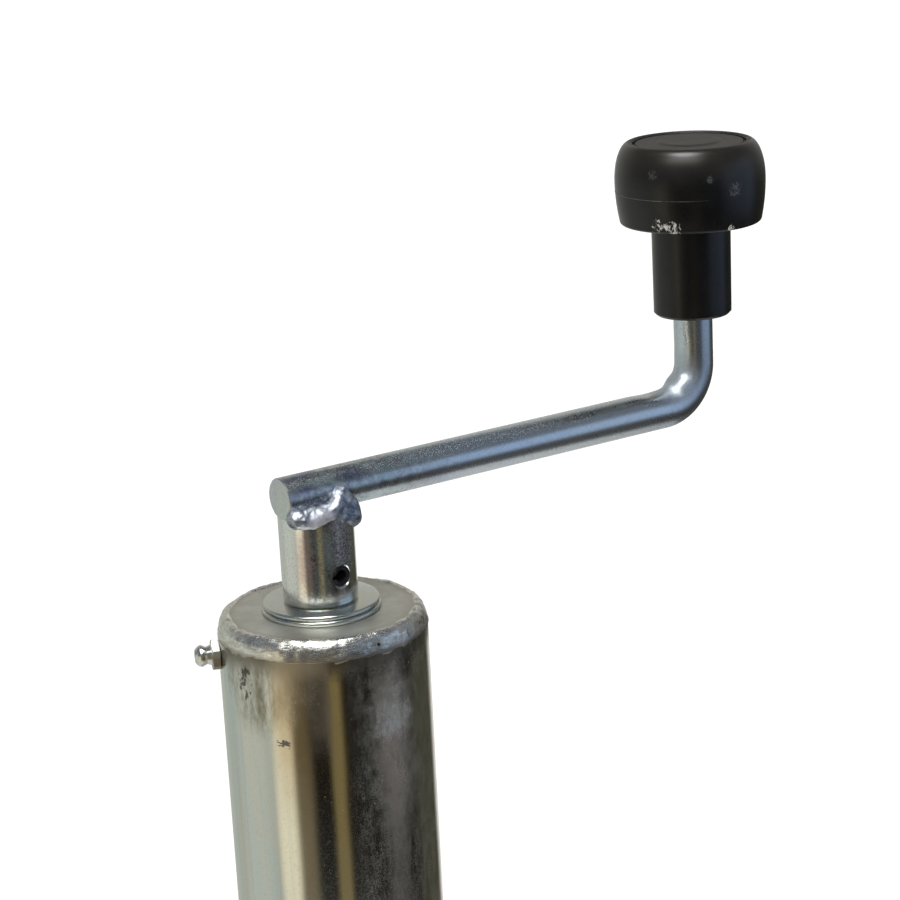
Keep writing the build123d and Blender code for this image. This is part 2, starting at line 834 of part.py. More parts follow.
def axle_nut():
    """A lock nut, its collar turned down past the hexagon."""
    hexagon = hex_block(axle_flats, axle_nut_height * 0.75, axle_d / 2 + seat)
    collar_r = axle_flats / 2 - 1
    collar = Cylinder(collar_r, axle_nut_height, align=(Align.CENTER, Align.CENTER, Align.MIN))
    collar = fillet(collar.edges().group_by(Axis.Z)[-1], 1.2)
    collar -= Cylinder(axle_d / 2 + seat, 4 * axle_nut_height)
    return across(fork_outer + axle_washer_thickness) * (hexagon + collar)


def axle_washers():
    low, high = fork_outer, fork_outer + axle_washer_thickness
    pair = [drum(axle_washer_d / 2, low, high, axle_d / 2 + seat)]
    pair.append(drum(axle_washer_d / 2, -high, -low, axle_d / 2 + seat))
    return Compound(pair)


def axle_sleeve():
    """The steel tube that the legs are clamped against and the wheel turns on."""
    return drum(sleeve_r, -fork_gap / 2, fork_gap / 2, axle_d / 2 + seat)


def hub_shims():
    """A thrust washer between each bush's flange and the fork."""
    low = hub_length / 2 + wheel_bush_flange + face_gap
    high = fork_gap / 2 - face_gap
    bore = sleeve_r + seat
    return Compound([drum(hub_r, low, high, bore), drum(hub_r, -high, -low, bore)])


def hub_tube():
    return drum(hub_r, -hub_length / 2, hub_length / 2, hub_bore_r)


def hub_bushes():
    """A flanged plain bush in each end of the hub."""
    end = hub_length / 2
    pair = []
    for side in (-1, 1):
        half = Cylinder(
            hub_bore_r - seat, wheel_bush_depth, align=(Align.CENTER, Align.CENTER, Align.MAX)
        )
        flange = Cylinder(
            hub_r - 0.5, wheel_bush_flange, align=(Align.CENTER, Align.CENTER, Align.MIN)
        )
        bush = half + flange - Cylinder(sleeve_r + running, 6 * wheel_bush_depth)
        pair.append(across_out(side)(end) * bush)
    return Compound(pair)


def rim_line(offset):
    """The rim half's tyre-side line as (radius, place along the axle), moved off by the sheet."""
    return [
        (rim_web_d / 2 - 0.4 * offset, offset),
        (rim_seat_d / 2 - 0.7 * offset, rim_seat_start + 0.7 * offset),
        (rim_seat_d / 2 - offset, rim_seat_end + 0.4 * offset),
        (rim_lip_d / 2 - 0.5 * offset, rim_lip_end + 0.9 * offset),
    ]


def rim(side):
    """One pressed half: a flat web bolted to its twin, a cone, the tyre seat and a turned-out lip."""
    outer = [(hub_r + seat, 0)] + rim_line(0)
    back = [(hub_r + seat, rim_sheet)] + rim_line(rim_sheet)
    half = revolve(make_face(Polyline(*[(r, 0, y) for r, y in outer + back[::-1]], close=True)), Axis.Z)
    hole = Cylinder(rim_bolt_d / 2 + hole_play, 4 * rim_sheet)
    for loc in PolarLocations(rim_bolt_circle / 2, rim_bolt_count, start_angle=180 / rim_bolt_count):
        half -= loc * hole
    return across_out(side)(face_gap / 2) * half


def hub_welds():
    """A fillet weld on each side, between the web and the hub's tube."""
    start = rim_sheet + face_gap / 2
    leg = hub_weld_leg
    corner = [(hub_r, 0), (hub_r + leg, 0), (hub_r, leg)]
    outline = make_face(Polyline(*[(r, 0, y) for r, y in corner], close=True))
    bead = revolve(outline, Axis.Z)
    return Compound([across_out(side)(start) * bead for side in (-1, 1)])


def rim_fixings(height, side, shank):
    """A hexagon at each hole on one side of the web, with a shank through both halves if asked."""
    start = rim_sheet + face_gap / 2
    one = hex_block(rim_bolt_flats, height, 0.0 if shank else rim_bolt_d / 2 + seat)
    if shank:
        one += Cylinder(
            rim_bolt_d / 2,
            2 * start + rim_nut_height + 1,
            align=(Align.CENTER, Align.CENTER, Align.MAX),
        )
    places = PolarLocations(rim_bolt_circle / 2, rim_bolt_count, start_angle=180 / rim_bolt_count)
    return Compound([across_out(side)(start) * loc * one for loc in places])


def tyre():
    """Solid rubber with a crowned, grooved tread, seated on both halves of the rim."""
    r = tyre_d / 2
    half = tyre_width / 2
    shoulder = r - tyre_crown - tyre_shoulder_r
    wall_r = rim_lip_d / 2 + 3
    shift = face_gap / 4
    seat_line = [(a, 0, y + shift) for a, y in rim_line(0)[1:]]
    root_r = rim_web_d / 2 + 4
    root_y = rim_seat_start * (root_r - rim_web_d / 2) / (rim_seat_d / 2 - rim_web_d / 2) + shift
    right = Polyline(
        (root_r, 0, 0),
        (root_r, 0, root_y),
        *seat_line,
        (wall_r, 0, rim_lip_end + 1.4),
        (wall_r + 2, 0, half),
        (shoulder, 0, half),
    )
    round_edge = ThreePointArc(
        (shoulder, 0, half),
        (shoulder + tyre_shoulder_r * sin(pi / 4), 0, half - tyre_shoulder_r * (1 - cos(pi / 4))),
        (shoulder + tyre_shoulder_r, 0, half - tyre_shoulder_r),
    )
    crown = ThreePointArc(
        (r - tyre_crown, 0, half - tyre_shoulder_r),
        (r - tyre_crown * 0.25, 0, (half - tyre_shoulder_r) / 2),
        (r, 0, 0),
    )
    close_line = Line((r, 0, 0), (root_r, 0, 0))
    section = make_face(right + round_edge + crown + close_line)
    solid = revolve(section, Axis.Z)
    solid = solid + mirror(solid, Plane.XY)
    for y in (-tread_groove_offset, tread_groove_offset):
        low, high = y - tread_groove_width / 2, y + tread_groove_width / 2
        floor_r = r - tyre_crown / 2 - tread_groove_depth
        solid -= ring(floor_r, r + 1, low, high)
    return across(0) * solid


pieces = {
    "outer_tube": outer_tube(),
    "top_cap": top_cap(),
    "cap_weld": cap_weld(),
    "lower_washer": lower_washer(),
    "grease_nipple": grease_nipple(),
    "cap_race": race(bearing_top - race_thickness),
    "guide_boss": guide_boss(),
    "boss_weld": boss_weld(),
    "guide_screw": guide_screw(),
    "guide_lock_nut": guide_lock_nut(),
    "lower_bush": lower_bush(),
    "screw_rollers": rollers(bearing_top - bearing_height / 2),
    "screw_roller_cage": cage(bearing_top - bearing_height / 2),
    "screw_race": race(shoulder_top),
    "spindle": spindle(),
    "spindle_end_washer": spindle_end_washer(),
    "spindle_end_nut": spindle_end_nut(),
    "upper_washer": upper_washer(),
    "crank_collar": crank_collar(),
    "collar_pin": collar_pin(),
    "crank_rod": crank_rod(),
    "crank_weld": crank_weld(),
    "knob_retainer": knob_retainer(),
    "knob_body": knob_body(),
    "knob_cap": knob_cap(),
    "inner_tube": inner_tube(),
    "spindle_nut": spindle_nut(),
    "nut_pins": nut_pins(),
    "top_ring": top_ring(),
    "swivel_plug": swivel_plug(),
    "plug_weld": plug_weld(),
    "plug_race": race(swivel_top - race_thickness),
    "king_bolt": king_bolt(),
    "king_washer": king_washer(),
    "king_nut": king_nut(),
    "split_pin": split_pin(),
    "swivel_rollers": rollers(swivel_top - bearing_height / 2),
    "swivel_roller_cage": cage(swivel_top - bearing_height / 2),
    "fork": fork(),
    "swivel_cup": swivel_cup(),
    "fork_race": race(cup_top),
    "cup_weld": cup_weld(),
    "axle_bolt": axle_bolt(),
    "axle_nut": axle_nut(),
    "axle_washers": axle_washers(),
    "axle_sleeve": axle_sleeve(),
    "hub_shims": hub_shims(),
    "hub_tube": hub_tube(),
    "hub_bushes": hub_bushes(),
    "rim_left": rim(1),
    "rim_right": rim(-1),
    "hub_welds": hub_welds(),
    "rim_bolts": rim_fixings(rim_bolt_head, -1, True),
    "rim_nuts": rim_fixings(rim_nut_height, 1, False),
    "tyre": tyre(),
}

os.makedirs("parts", exist_ok=True)
for name, piece in pieces.items():
    export_step(piece, f"parts/{name}.step")
print("travel", travel, "cap top", round(cap_top, 3), "wheel centre", round(wheel_z, 3))
print("ground", round(wheel_z - tyre_d / 2, 3), "top", round(cap_top + head_top_rise, 3))
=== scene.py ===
"""Looks of a heavy jockey wheel, built round its CAD model.

Metres. +Z runs up the leg, +X lies under the crank arm and +Y along the wheel's axle.
"""

import json
from math import cos, pi, radians, sin

import bmesh
import bpy
from mathutils import Matrix, Vector

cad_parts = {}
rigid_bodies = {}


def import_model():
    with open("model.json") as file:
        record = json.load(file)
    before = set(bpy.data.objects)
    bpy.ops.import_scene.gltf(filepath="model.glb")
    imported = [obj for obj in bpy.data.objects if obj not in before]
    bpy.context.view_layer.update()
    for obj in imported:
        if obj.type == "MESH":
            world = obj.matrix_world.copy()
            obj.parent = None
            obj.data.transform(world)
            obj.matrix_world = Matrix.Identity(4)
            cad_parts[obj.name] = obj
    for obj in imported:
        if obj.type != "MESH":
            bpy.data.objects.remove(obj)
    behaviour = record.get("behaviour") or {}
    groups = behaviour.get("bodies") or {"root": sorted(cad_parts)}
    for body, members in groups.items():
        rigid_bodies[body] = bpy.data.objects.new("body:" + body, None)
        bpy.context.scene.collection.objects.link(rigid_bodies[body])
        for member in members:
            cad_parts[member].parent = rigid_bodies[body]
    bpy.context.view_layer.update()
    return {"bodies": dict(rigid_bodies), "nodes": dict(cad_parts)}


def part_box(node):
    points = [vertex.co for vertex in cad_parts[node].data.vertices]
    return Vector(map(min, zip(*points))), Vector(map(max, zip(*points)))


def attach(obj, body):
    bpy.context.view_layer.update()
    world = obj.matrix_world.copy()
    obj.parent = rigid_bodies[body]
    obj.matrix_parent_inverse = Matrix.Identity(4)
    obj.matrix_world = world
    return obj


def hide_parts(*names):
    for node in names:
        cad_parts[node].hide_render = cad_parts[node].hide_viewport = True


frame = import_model()
nodes = frame["nodes"]
bodies = frame["bodies"]

# Places and sizes that the CAD model gives
tube_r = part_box("outer_tube")[1].x
tyre_low, tyre_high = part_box("tyre")
tyre_r = (tyre_high.x - tyre_low.x) / 2
wheel_x = tyre_low.x + tyre_r
wheel_z = tyre_low.z + tyre_r
bar_low, bar_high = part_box("crank_rod")
bar_r = 0.0060
bar_z = bar_low.z + bar_r
arm = 0.138
bend_r = 0.0127
bar_top = bar_high.z
knob_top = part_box("knob_body")[1].z

# Radii of the low ribs moulded on each wall of the tyre
rib_radii = (0.0795, 0.0885)

# Camera, as it stood for the photograph
camera_place = Vector((-0.32675, -0.56647, 0.41164))
camera_heading = radians(56.631)
camera_pitch = radians(-15.994)
camera_roll = radians(-2.896)
camera_lens = 97.32

# Studio: a round room about the leg, and the side that the camera stands on
room_r = 0.65
room_low = tyre_low.z - 0.25
room_top = 1.25
floor_r = 60.0
facing = radians(-119.98)


class Socket:
    """What a node gives, so that sums on it add their own nodes."""

    def __init__(self, paint, output):
        self.paint = paint
        self.output = output

    def maths(self, operation, first, second=0.0):
        return self.paint.node("ShaderNodeMath", {"operation": operation}, {0: first, 1: second})

    def __add__(self, other):
        return self.maths("ADD", self, other)

    def __radd__(self, other):
        return self.maths("ADD", other, self)

    def __sub__(self, other):
        return self.maths("SUBTRACT", self, other)

    def __rsub__(self, other):
        return self.maths("SUBTRACT", other, self)

    def __mul__(self, other):
        return self.maths("MULTIPLY", self, other)

    def __rmul__(self, other):
        return self.maths("MULTIPLY", other, self)

    def __truediv__(self, other):
        return self.maths("DIVIDE", self, other)

    def __pow__(self, other):
        return self.maths("POWER", self, other)

    def __abs__(self):
        return self.maths("ABSOLUTE", self)

    def rise(self, low, high):
        """A smooth step from 0 at low to 1 at high; it falls where low is the larger."""
        ends = {"From Min": low, "From Max": high}
        if low > high:
            ends = {"From Min": high, "From Max": low, "To Min": 1.0, "To Max": 0.0}
        return self.paint.node(
            "ShaderNodeMapRange", {"interpolation_type": "SMOOTHSTEP"}, {"Value": self, **ends}
        )


class Paint:
    """A node tree being made: a material's, or the world's."""

    def __init__(self, owner):
        owner.use_nodes = True
        self.owner = owner
        self.tree = owner.node_tree
        self.tree.nodes.clear()

    def node(self, kind, settings=None, sockets=None, out=0):
        """Adds a node: its settings first, then a value or a link for each socket."""
        made = self.tree.nodes.new(kind)
        for name, value in (settings or {}).items():
            if name == "stops":
                self.set_stops(made.color_ramp, value)
            else:
                setattr(made, name, value)
        for key, value in (sockets or {}).items():
            if isinstance(value, Socket):
                self.tree.links.new(value.output, made.inputs[key])
            else:
                made.inputs[key].default_value = value
        return Socket(self, made.outputs[out]) if made.outputs else made

    def set_stops(self, ramp, stops):
        while len(ramp.elements) < len(stops):
            ramp.elements.new(0.5)
        for element, (place, colour) in zip(ramp.elements, stops):
            element.position = place
            element.color = (*colour, 1.0)

    def point(self):
        return self.node("ShaderNodeTexCoord", out="Object")

    def axes(self, vector):
        """The three numbers of a vector, each as a socket."""
        split = self.tree.nodes.new("ShaderNodeSeparateXYZ")
        self.tree.links.new(vector.output, split.inputs[0])
        return [Socket(self, one) for one in split.outputs]

    def turn(self, x, y):
        """The angle of (x, y), in radians, from X towards Y."""
        return self.node("ShaderNodeMath", {"operation": "ARCTAN2"}, {0: y, 1: x})

    def vector(self, x, y, z):
        return self.node("ShaderNodeCombineXYZ", sockets={"X": x, "Y": y, "Z": z})

    def moved(self, vector, shift):
        return self.node("ShaderNodeVectorMath", {"operation": "ADD"}, {0: vector, 1: shift})

    def stretched(self, vector, by):
        return self.node("ShaderNodeVectorMath", {"operation": "MULTIPLY"}, {0: vector, 1: by})

    def away(self, vector, place):
        """The distance from a place."""
        sockets = {0: vector, 1: place}
        return self.node("ShaderNodeVectorMath", {"operation": "DISTANCE"}, sockets, out="Value")

    def noise(self, vector, size, detail=3.0, roughness=0.55, distortion=0.0):
        """Cloudy noise from 0 to 1 whose largest lumps have about this size."""
        sockets = {
            "Vector": vector,
            "Scale": 1.0 / size,
            "Detail": detail,
            "Roughness": roughness,
            "Distortion": distortion,
        }
        return self.node("ShaderNodeTexNoise", sockets=sockets)

    def flecks(self, vector, spacing, radius, share):
        """Small round dots, one in each chosen cell of a loose grid."""
        settings = {"feature": "F1"}
        sockets = {"Vector": vector, "Scale": 1.0 / spacing}
        near = self.node("ShaderNodeTexVoronoi", settings, sockets, out="Distance")
        pick = self.axes(self.node("ShaderNodeTexVoronoi", settings, sockets, out="Color"))[0]
        limit = radius / spacing
        return near.rise(limit, limit * 0.6) * pick.rise(1 - share, 1 - share + 0.02)

    def patches(self, vector, r, spots):
        """Soft patches round Z at this radius, each with its turn in degrees, height and size."""
        cover = 0.0
        for turn, height, size in spots:
            place = (r * cos(radians(turn)), r * sin(radians(turn)), height)
            cover = cover + self.away(vector, place).rise(size, size * 0.3)
        return cover

    def mix(self, share, first, second):
        """A colour between two."""
        sockets = {0: share}
        for key, colour in ((6, first), (7, second)):
            sockets[key] = colour if isinstance(colour, Socket) else (*colour, 1.0)
        return self.node("ShaderNodeMix", {"data_type": "RGBA"}, sockets, out=2)

    def bump(self, height, depth, under=None):
        """A normal from a height of 0 to 1, this deep in metres."""
        sockets = {"Height": height, "Distance": depth, "Strength": 1.0}
        if under is not None:
            sockets["Normal"] = under
        return self.node("ShaderNodeBump", sockets=sockets)

    def finish(self, colour, roughness, metallic=0.0, normal=None, **fixed):
        """The principled surface; fixed holds the sockets that are the same all over."""
        sockets = {"Roughness": roughness, "Metallic": metallic}
        sockets["Base Color"] = colour if isinstance(colour, Socket) else (*colour, 1.0)
        if normal is not None:
            sockets["Normal"] = normal
        sockets.update(fixed)
        surface = self.node("ShaderNodeBsdfPrincipled", sockets=sockets)
        self.node("ShaderNodeOutputMaterial", sockets={"Surface": surface})
        return self.owner


def new_paint(name):
    return Paint(bpy.data.materials.new(name))


def length(x, y):
    return (x * x + y * y) ** 0.5


def panel(place, low, high, soft):
    """1 between two places and 0 outside them, over a soft edge."""
    return place.rise(low - soft, low + soft) * place.rise(high + soft, high - soft)


def plating(p, point, tint, streak=(1.0, 1.0, 1.0)):
    """Zinc plate: cloudy between a cool and a warm grey, with fine mottling. Colour and roughness."""
    cool, warm, dull = tint
    along = p.stretched(point, streak)
    cloud = p.noise(along, 0.009, 4.0, 0.6, 0.4)
    mottle = p.noise(point, 0.0009, 2.0, 0.6)
    colour = p.mix(cloud.rise(0.35, 0.65), cool, warm)
    colour = p.mix(mottle.rise(0.5, 0.8) * 0.3, colour, dull)
    roughness = 0.10 + 0.05 * cloud + 0.06 * mottle.rise(0.45, 0.8)
    return colour, roughness


def heat_marks(p, point, z, ragged, colour):
    """Soot and licks of burnt plating under the cap's weld: the new colour, and how much of each."""
    soot = (z + 0.006 * ragged).rise(0.1705, 0.1775)
    colour = p.mix(soot * 0.85, colour, (0.125, 0.105, 0.07))
    burnt_place = p.away(p.stretched(point, (1.0, 1.0, 0.9)), (-0.0285, -0.0115, 0.171 * 0.9))
    burnt = (burnt_place + 0.012 * ragged).rise(0.026, 0.016)
    licks = p.noise(p.stretched(point, (1.0, 1.0, 0.3)), 0.0024, 4.0, 0.75)
    colour = p.mix(burnt * licks.rise(0.3, 0.7), colour, (0.27, 0.245, 0.19))
    return colour, soot, burnt


def stains(p, point, angle, z, ragged, mottled, colour):
    """A rubbed film on the dark side, a hazy patch in it, and tan and brown bands beside it."""
    rubbed = p.noise(p.stretched(point, (1.0, 1.0, 0.33)), 0.0026, 6.0, 0.8)
    grainy = p.noise(point, 0.0005, 3.0, 0.8)
    shaded = angle.rise(radians(-112), radians(-102)) * angle.rise(radians(-20), radians(-40))
    film = shaded * rubbed.rise(0.36, 0.66) * grainy.rise(0.36, 0.56)

    hazy = p.away(p.stretched(point, (1.0, 1.0, 0.36)), (0.0035, -0.0298, 0.144 * 0.36))
    hazy = (hazy + 0.012 * ragged + 0.006 * rubbed).rise(0.0200, 0.0110)
    blue = (z + 0.004 * mottled).rise(0.1490, 0.1545)
    haze_colour = p.mix(blue, (0.30, 0.22, 0.24), (0.42, 0.45, 0.48))
    hazy = hazy * (0.45 + 0.55 * blue) * rubbed.rise(0.15, 0.55) * (0.75 + 0.5 * grainy)

    tan = panel(angle, radians(-150), radians(-120), radians(5))
    tan = tan * (z + 0.02 * ragged).rise(0.128, 0.165)
    browned = angle.rise(radians(-134), radians(-126)) * angle.rise(radians(-117), radians(-121))
    browned = browned * (z + 0.012 * ragged).rise(0.148, 0.164) * (0.5 + 0.5 * ragged)

    colour = p.mix(tan * 0.75, colour, (0.47, 0.39, 0.27))
    colour = p.mix(browned * 0.5, colour, (0.33, 0.26, 0.18))
    colour = p.mix(film * 0.4, colour, (0.32, 0.27, 0.22))
    colour = p.mix(hazy * 0.85, colour, haze_colour)
    return colour, film, hazy, browned


def dirt_and_shade_spots(p, point, mottled):
    """Black dirt beside the grease nipple, thickened there into painted shade where the bead's foot
    overlaps the tube, a lone smudge lower down and a short scratch.
    """
    dirt = p.noise(p.stretched(point, (1.0, 1.0, 0.6)), 0.0018, 5.0, 0.75)
    # Painted shade: the dirt is made thicker and blacker in the groove under the bead beside the
    # nipple.
    groove_shade = p.away(p.stretched(point, (1.0, 1.0, 0.5)), (-0.0294, -0.0058, 0.1668 * 0.5))
    groove_shade = groove_shade.rise(0.0052, 0.001)
    spots = (dirt + 0.25 * groove_shade).rise(0.735, 0.775)
    smudge = p.noise(p.stretched(point, (0.55, 0.55, 1.2)), 0.0011, 4.0, 0.7)
    lone = p.away(p.stretched(point, (1.0, 1.0, 1.6)), (-0.0247, -0.0170, 0.1504 * 1.6))
    spots = spots + (smudge + 0.36 * lone.rise(0.0042, 0.0008)).rise(0.76, 0.82)
    scratch = p.away(p.stretched(point, (1.0, 1.0, 0.3)), (-0.0030, -0.0298, 0.1566 * 0.3))
    scratch = (scratch + 0.0005 * mottled).rise(0.0013, 0.0009)
    return spots + scratch - spots * scratch


def tube_plating():
    """Bright zinc over drawn tube, dulled by the welds' heat, with dirt, painted shade under the bead
    by the nipple, dust and a hazy patch.
    """
    p = new_paint("tube_plating")
    point = p.point()
    x, y, z = p.axes(point)
    colour, roughness = plating(
        p, point, ((0.62, 0.655, 0.63), (0.68, 0.655, 0.58), (0.42, 0.43, 0.41)), (1.0, 1.0, 0.1)
    )
    ragged = p.noise(point, 0.006, 4.0, 0.65)
    mottled = p.noise(point, 0.0016, 3.0, 0.7)
    colour, soot, burnt = heat_marks(p, point, z, ragged, colour)
    colour, film, hazy, browned = stains(p, point, p.turn(x, y), z, ragged, mottled, colour)
    spots = dirt_and_shade_spots(p, point, mottled)
    # Black for the dirt, and for the painted shade by the nipple.
    colour = p.mix(spots * 0.9, colour, (0.02, 0.018, 0.015))
    dust = p.flecks(p.moved(point, (0.0, 0.0, 0.01)), 0.0013, 0.00010, 0.3)
    dust = dust * ragged.rise(0.42, 0.58)
    colour = p.mix(dust * 0.9, colour, (0.85, 0.84, 0.80))
    draw_lines = p.noise(p.stretched(point, (1.0, 1.0, 0.012)), 0.0014, 3.0, 0.65)
    colour = p.mix(draw_lines.rise(0.5, 0.75) * 0.3, colour, (0.40, 0.41, 0.38))

    roughness = roughness + 0.22 * soot + 0.2 * burnt + 0.12 * hazy + 0.08 * film + 0.1 * browned
    roughness = roughness + 0.3 * spots + 0.3 * dust
    metal = 1.0 - 0.9 * spots.rise(0.6, 1.0) - 0.8 * dust
    metal = metal * (1.0 - 0.42 * hazy - 0.14 * film - 0.12 * browned)
    dents = p.noise(p.stretched(point, (1.0, 1.0, 0.25)), 0.016, 2.0)
    normal = p.bump(draw_lines, 0.0000045)
    normal = p.bump(dents, 0.00013, normal)
    normal = p.bump(mottled, 0.00004 * (0.04 + burnt + soot), normal)
    return p.finish(colour, roughness, metal, normal)


def slide_plating():
    """The inner tube: zinc plate rubbed along its length, with a film of old grease."""
    p = new_paint("slide_plating")
    point = p.point()
    colour, roughness = plating(
        p, point, ((0.60, 0.62, 0.61), (0.64, 0.61, 0.55), (0.40, 0.40, 0.38)), (1.0, 1.0, 0.1)
    )
    rub = p.noise(p.stretched(point, (1.0, 1.0, 0.015)), 0.0016, 3.0, 0.65)
    colour = p.mix(rub.rise(0.5, 0.75) * 0.5, colour, (0.72, 0.72, 0.70))
    grease = p.noise(p.stretched(point, (1.0, 1.0, 0.35)), 0.014, 4.0, 0.6).rise(0.56, 0.72)
    colour = p.mix(grease * 0.45, colour, (0.20, 0.16, 0.10))
    roughness = roughness + 0.2 * grease
    return p.finish(colour, roughness, 1.0 - 0.3 * grease, p.bump(rub, 0.000006))


def cap_plating():
    """The cap's flat top: dull, greyish beige, with a few dark pin pricks."""
    p = new_paint("cap_plating")
    point = p.point()
    x, y = p.axes(point)[:2]
    r = length(x, y)
    cloud = p.noise(point, 0.012, 4.0, 0.6)
    fine = p.noise(point, 0.0007, 3.0, 0.7)
    colour = p.mix(cloud.rise(0.3, 0.7), (0.47, 0.455, 0.40), (0.61, 0.61, 0.56))
    colour = p.mix(fine.rise(0.5, 0.8) * 0.4, colour, (0.30, 0.28, 0.24))
    rim = (r + 0.002 * cloud).rise(0.0245, 0.0275)
    colour = p.mix(rim * 0.5, colour, (0.36, 0.32, 0.25))
    pricks = p.flecks(point, 0.006, 0.0003, 0.35)
    colour = p.mix(pricks, colour, (0.05, 0.045, 0.04))
    roughness = 0.36 + 0.12 * cloud + 0.1 * fine
    return p.finish(colour, roughness, 1.0 - 0.4 * pricks, p.bump(fine, 0.00003))


def washer_plating():
    """Flat washers: bright zinc, turned by the crank until they shine in rings."""
    p = new_paint("washer_plating")
    point = p.point()
    x, y, z = p.axes(point)
    rings = p.noise(p.vector(length(x, y), z * 0.2, 0.0), 0.0006, 2.0, 0.6)
    colour, roughness = plating(p, point, ((0.55, 0.60, 0.58), (0.59, 0.58, 0.52), (0.40, 0.41, 0.39)))
    colour = p.mix(rings.rise(0.55, 0.8) * 0.4, colour, (0.38, 0.38, 0.35))
    return p.finish(colour, roughness + 0.09, 1.0, p.bump(rings, 0.000005))


def collar_plating():
    """The collar: bright zinc with dark mottled patches and smears, and a burr round the pin's hole."""
    p = new_paint("collar_plating")
    point = p.point()
    colour, roughness = plating(
        p, point, ((0.74, 0.78, 0.77), (0.76, 0.74, 0.69), (0.42, 0.44, 0.44)), (1.0, 1.0, 0.3)
    )
    ragged = p.noise(point, 0.004, 4.0, 0.7)
    speck = p.noise(point, 0.0005, 3.0, 0.7)
    colour = p.mix(speck.rise(0.46, 0.66) * 0.3, colour, (0.36, 0.38, 0.40))
    burn = p.away(p.stretched(point, (1.0, 1.0, 0.6)), (0.0022, -0.0105, 0.2015 * 0.6))
    burn = (burn + 0.005 * ragged).rise(0.0095, 0.0060)
    colour = p.mix(burn * speck.rise(0.35, 0.62), colour, (0.22, 0.25, 0.33))
    teal = p.away(p.stretched(point, (1.0, 1.0, 0.3)), (-0.0057, -0.0091, 0.1965 * 0.3))
    teal = teal.rise(0.0055, 0.0025) * speck.rise(0.42, 0.58)
    colour = p.mix(teal * 0.8, colour, (0.16, 0.27, 0.27))
    mauve = p.away(p.stretched(point, (1.0, 1.0, 0.3)), (-0.0080, -0.0072, 0.1970 * 0.3))
    mauve = (mauve + 0.002 * ragged).rise(0.0050, 0.0024)
    colour = p.mix(mauve * 0.75, colour, (0.42, 0.34, 0.36))
    roughness = roughness + 0.06 * burn + 0.08 * speck
    metal = 1.0 - 0.12 * burn - 0.25 * teal
    return p.finish(colour, roughness, metal, p.bump(speck, 0.000006))


def bar_plating():
    """The crank bar: cool bright zinc, tinged by heat at the weld, with long draw marks."""
    p = new_paint("bar_plating")
    point = p.point()
    colour, roughness = plating(
        p, point, ((0.58, 0.64, 0.70), (0.62, 0.66, 0.67), (0.33, 0.36, 0.40)), (0.3, 1.0, 0.3)
    )
    near = p.away(point, (0.008, 0.0, bar_z)).rise(0.045, 0.008)
    film = p.noise(p.stretched(point, (0.5, 1.0, 1.0)), 0.006, 3.0, 0.6)
    tinges = [
        (0.30, (0.62, 0.64, 0.62)),
        (0.42, (0.45, 0.62, 0.52)),
        (0.52, (0.66, 0.62, 0.42)),
        (0.62, (0.48, 0.42, 0.58)),
        (0.72, (0.42, 0.52, 0.66)),
    ]
    rainbow = p.node("ShaderNodeValToRGB", {"stops": tinges}, {"Fac": film}, out="Color")
    colour = p.mix(near * 0.35, colour, rainbow)
    x = p.axes(point)[0]
    speckle = p.noise(point, 0.0022, 5.0, 0.75)
    bruised = near * (0.55 * film + 0.45 * speckle).rise(0.42, 0.60)
    bruised = bruised * x.rise(bar_low.x + 0.0002, bar_low.x + 0.0010)
    colour = p.mix(bruised * 0.75, colour, (0.14, 0.16, 0.23))
    grain = p.noise(point, 0.0005, 3.0, 0.75)
    colour = p.mix(grain.rise(0.48, 0.68) * 0.4, colour, (0.36, 0.40, 0.46))
    pits = p.noise(point, 0.0011, 3.0, 0.7).rise(0.68, 0.76)
    colour = p.mix(pits * 0.7, colour, (0.05, 0.06, 0.09))
    marks = p.noise(p.stretched(point, (0.05, 1.0, 0.05)), 0.0008, 2.0, 0.6)
    squeezed = p.away(point, (0.130, 0.0, bar_z + 0.008)).rise(0.012, 0.004)
    roughness = roughness + 0.145 + 0.22 * squeezed
    normal = p.bump(marks, 0.000003)
    normal = p.bump(grain, 0.00003 * squeezed, normal)
    return p.finish(colour, roughness, 1.0 - 0.5 * pits, normal)


def weld_metal():
    """Plated weld: bright crests, brown soot between them, and pores."""
    p = new_paint("weld_metal")
    point = p.point()
    crests = p.noise(point, 0.0016, 4.0, 0.65, 0.6)
    fine = p.noise(point, 0.0004, 2.0, 0.7)
    colour = p.mix(crests.rise(0.35, 0.6), (0.26, 0.24, 0.19), (0.72, 0.72, 0.68))
    soot = p.noise(point, 0.0055, 3.0, 0.6).rise(0.55, 0.72)
    colour = p.mix(soot * 0.6, colour, (0.16, 0.15, 0.12))
    pores = p.flecks(point, 0.0034, 0.0003, 0.3)
    colour = p.mix(pores, colour, (0.01, 0.01, 0.01))
    roughness = 0.2 + 0.15 * fine + 0.2 * soot
    normal = p.bump(crests, 0.0001)
    normal = p.bump(fine, 0.00001, normal)
    return p.finish(colour, roughness, 1.0 - 0.8 * pores, normal)


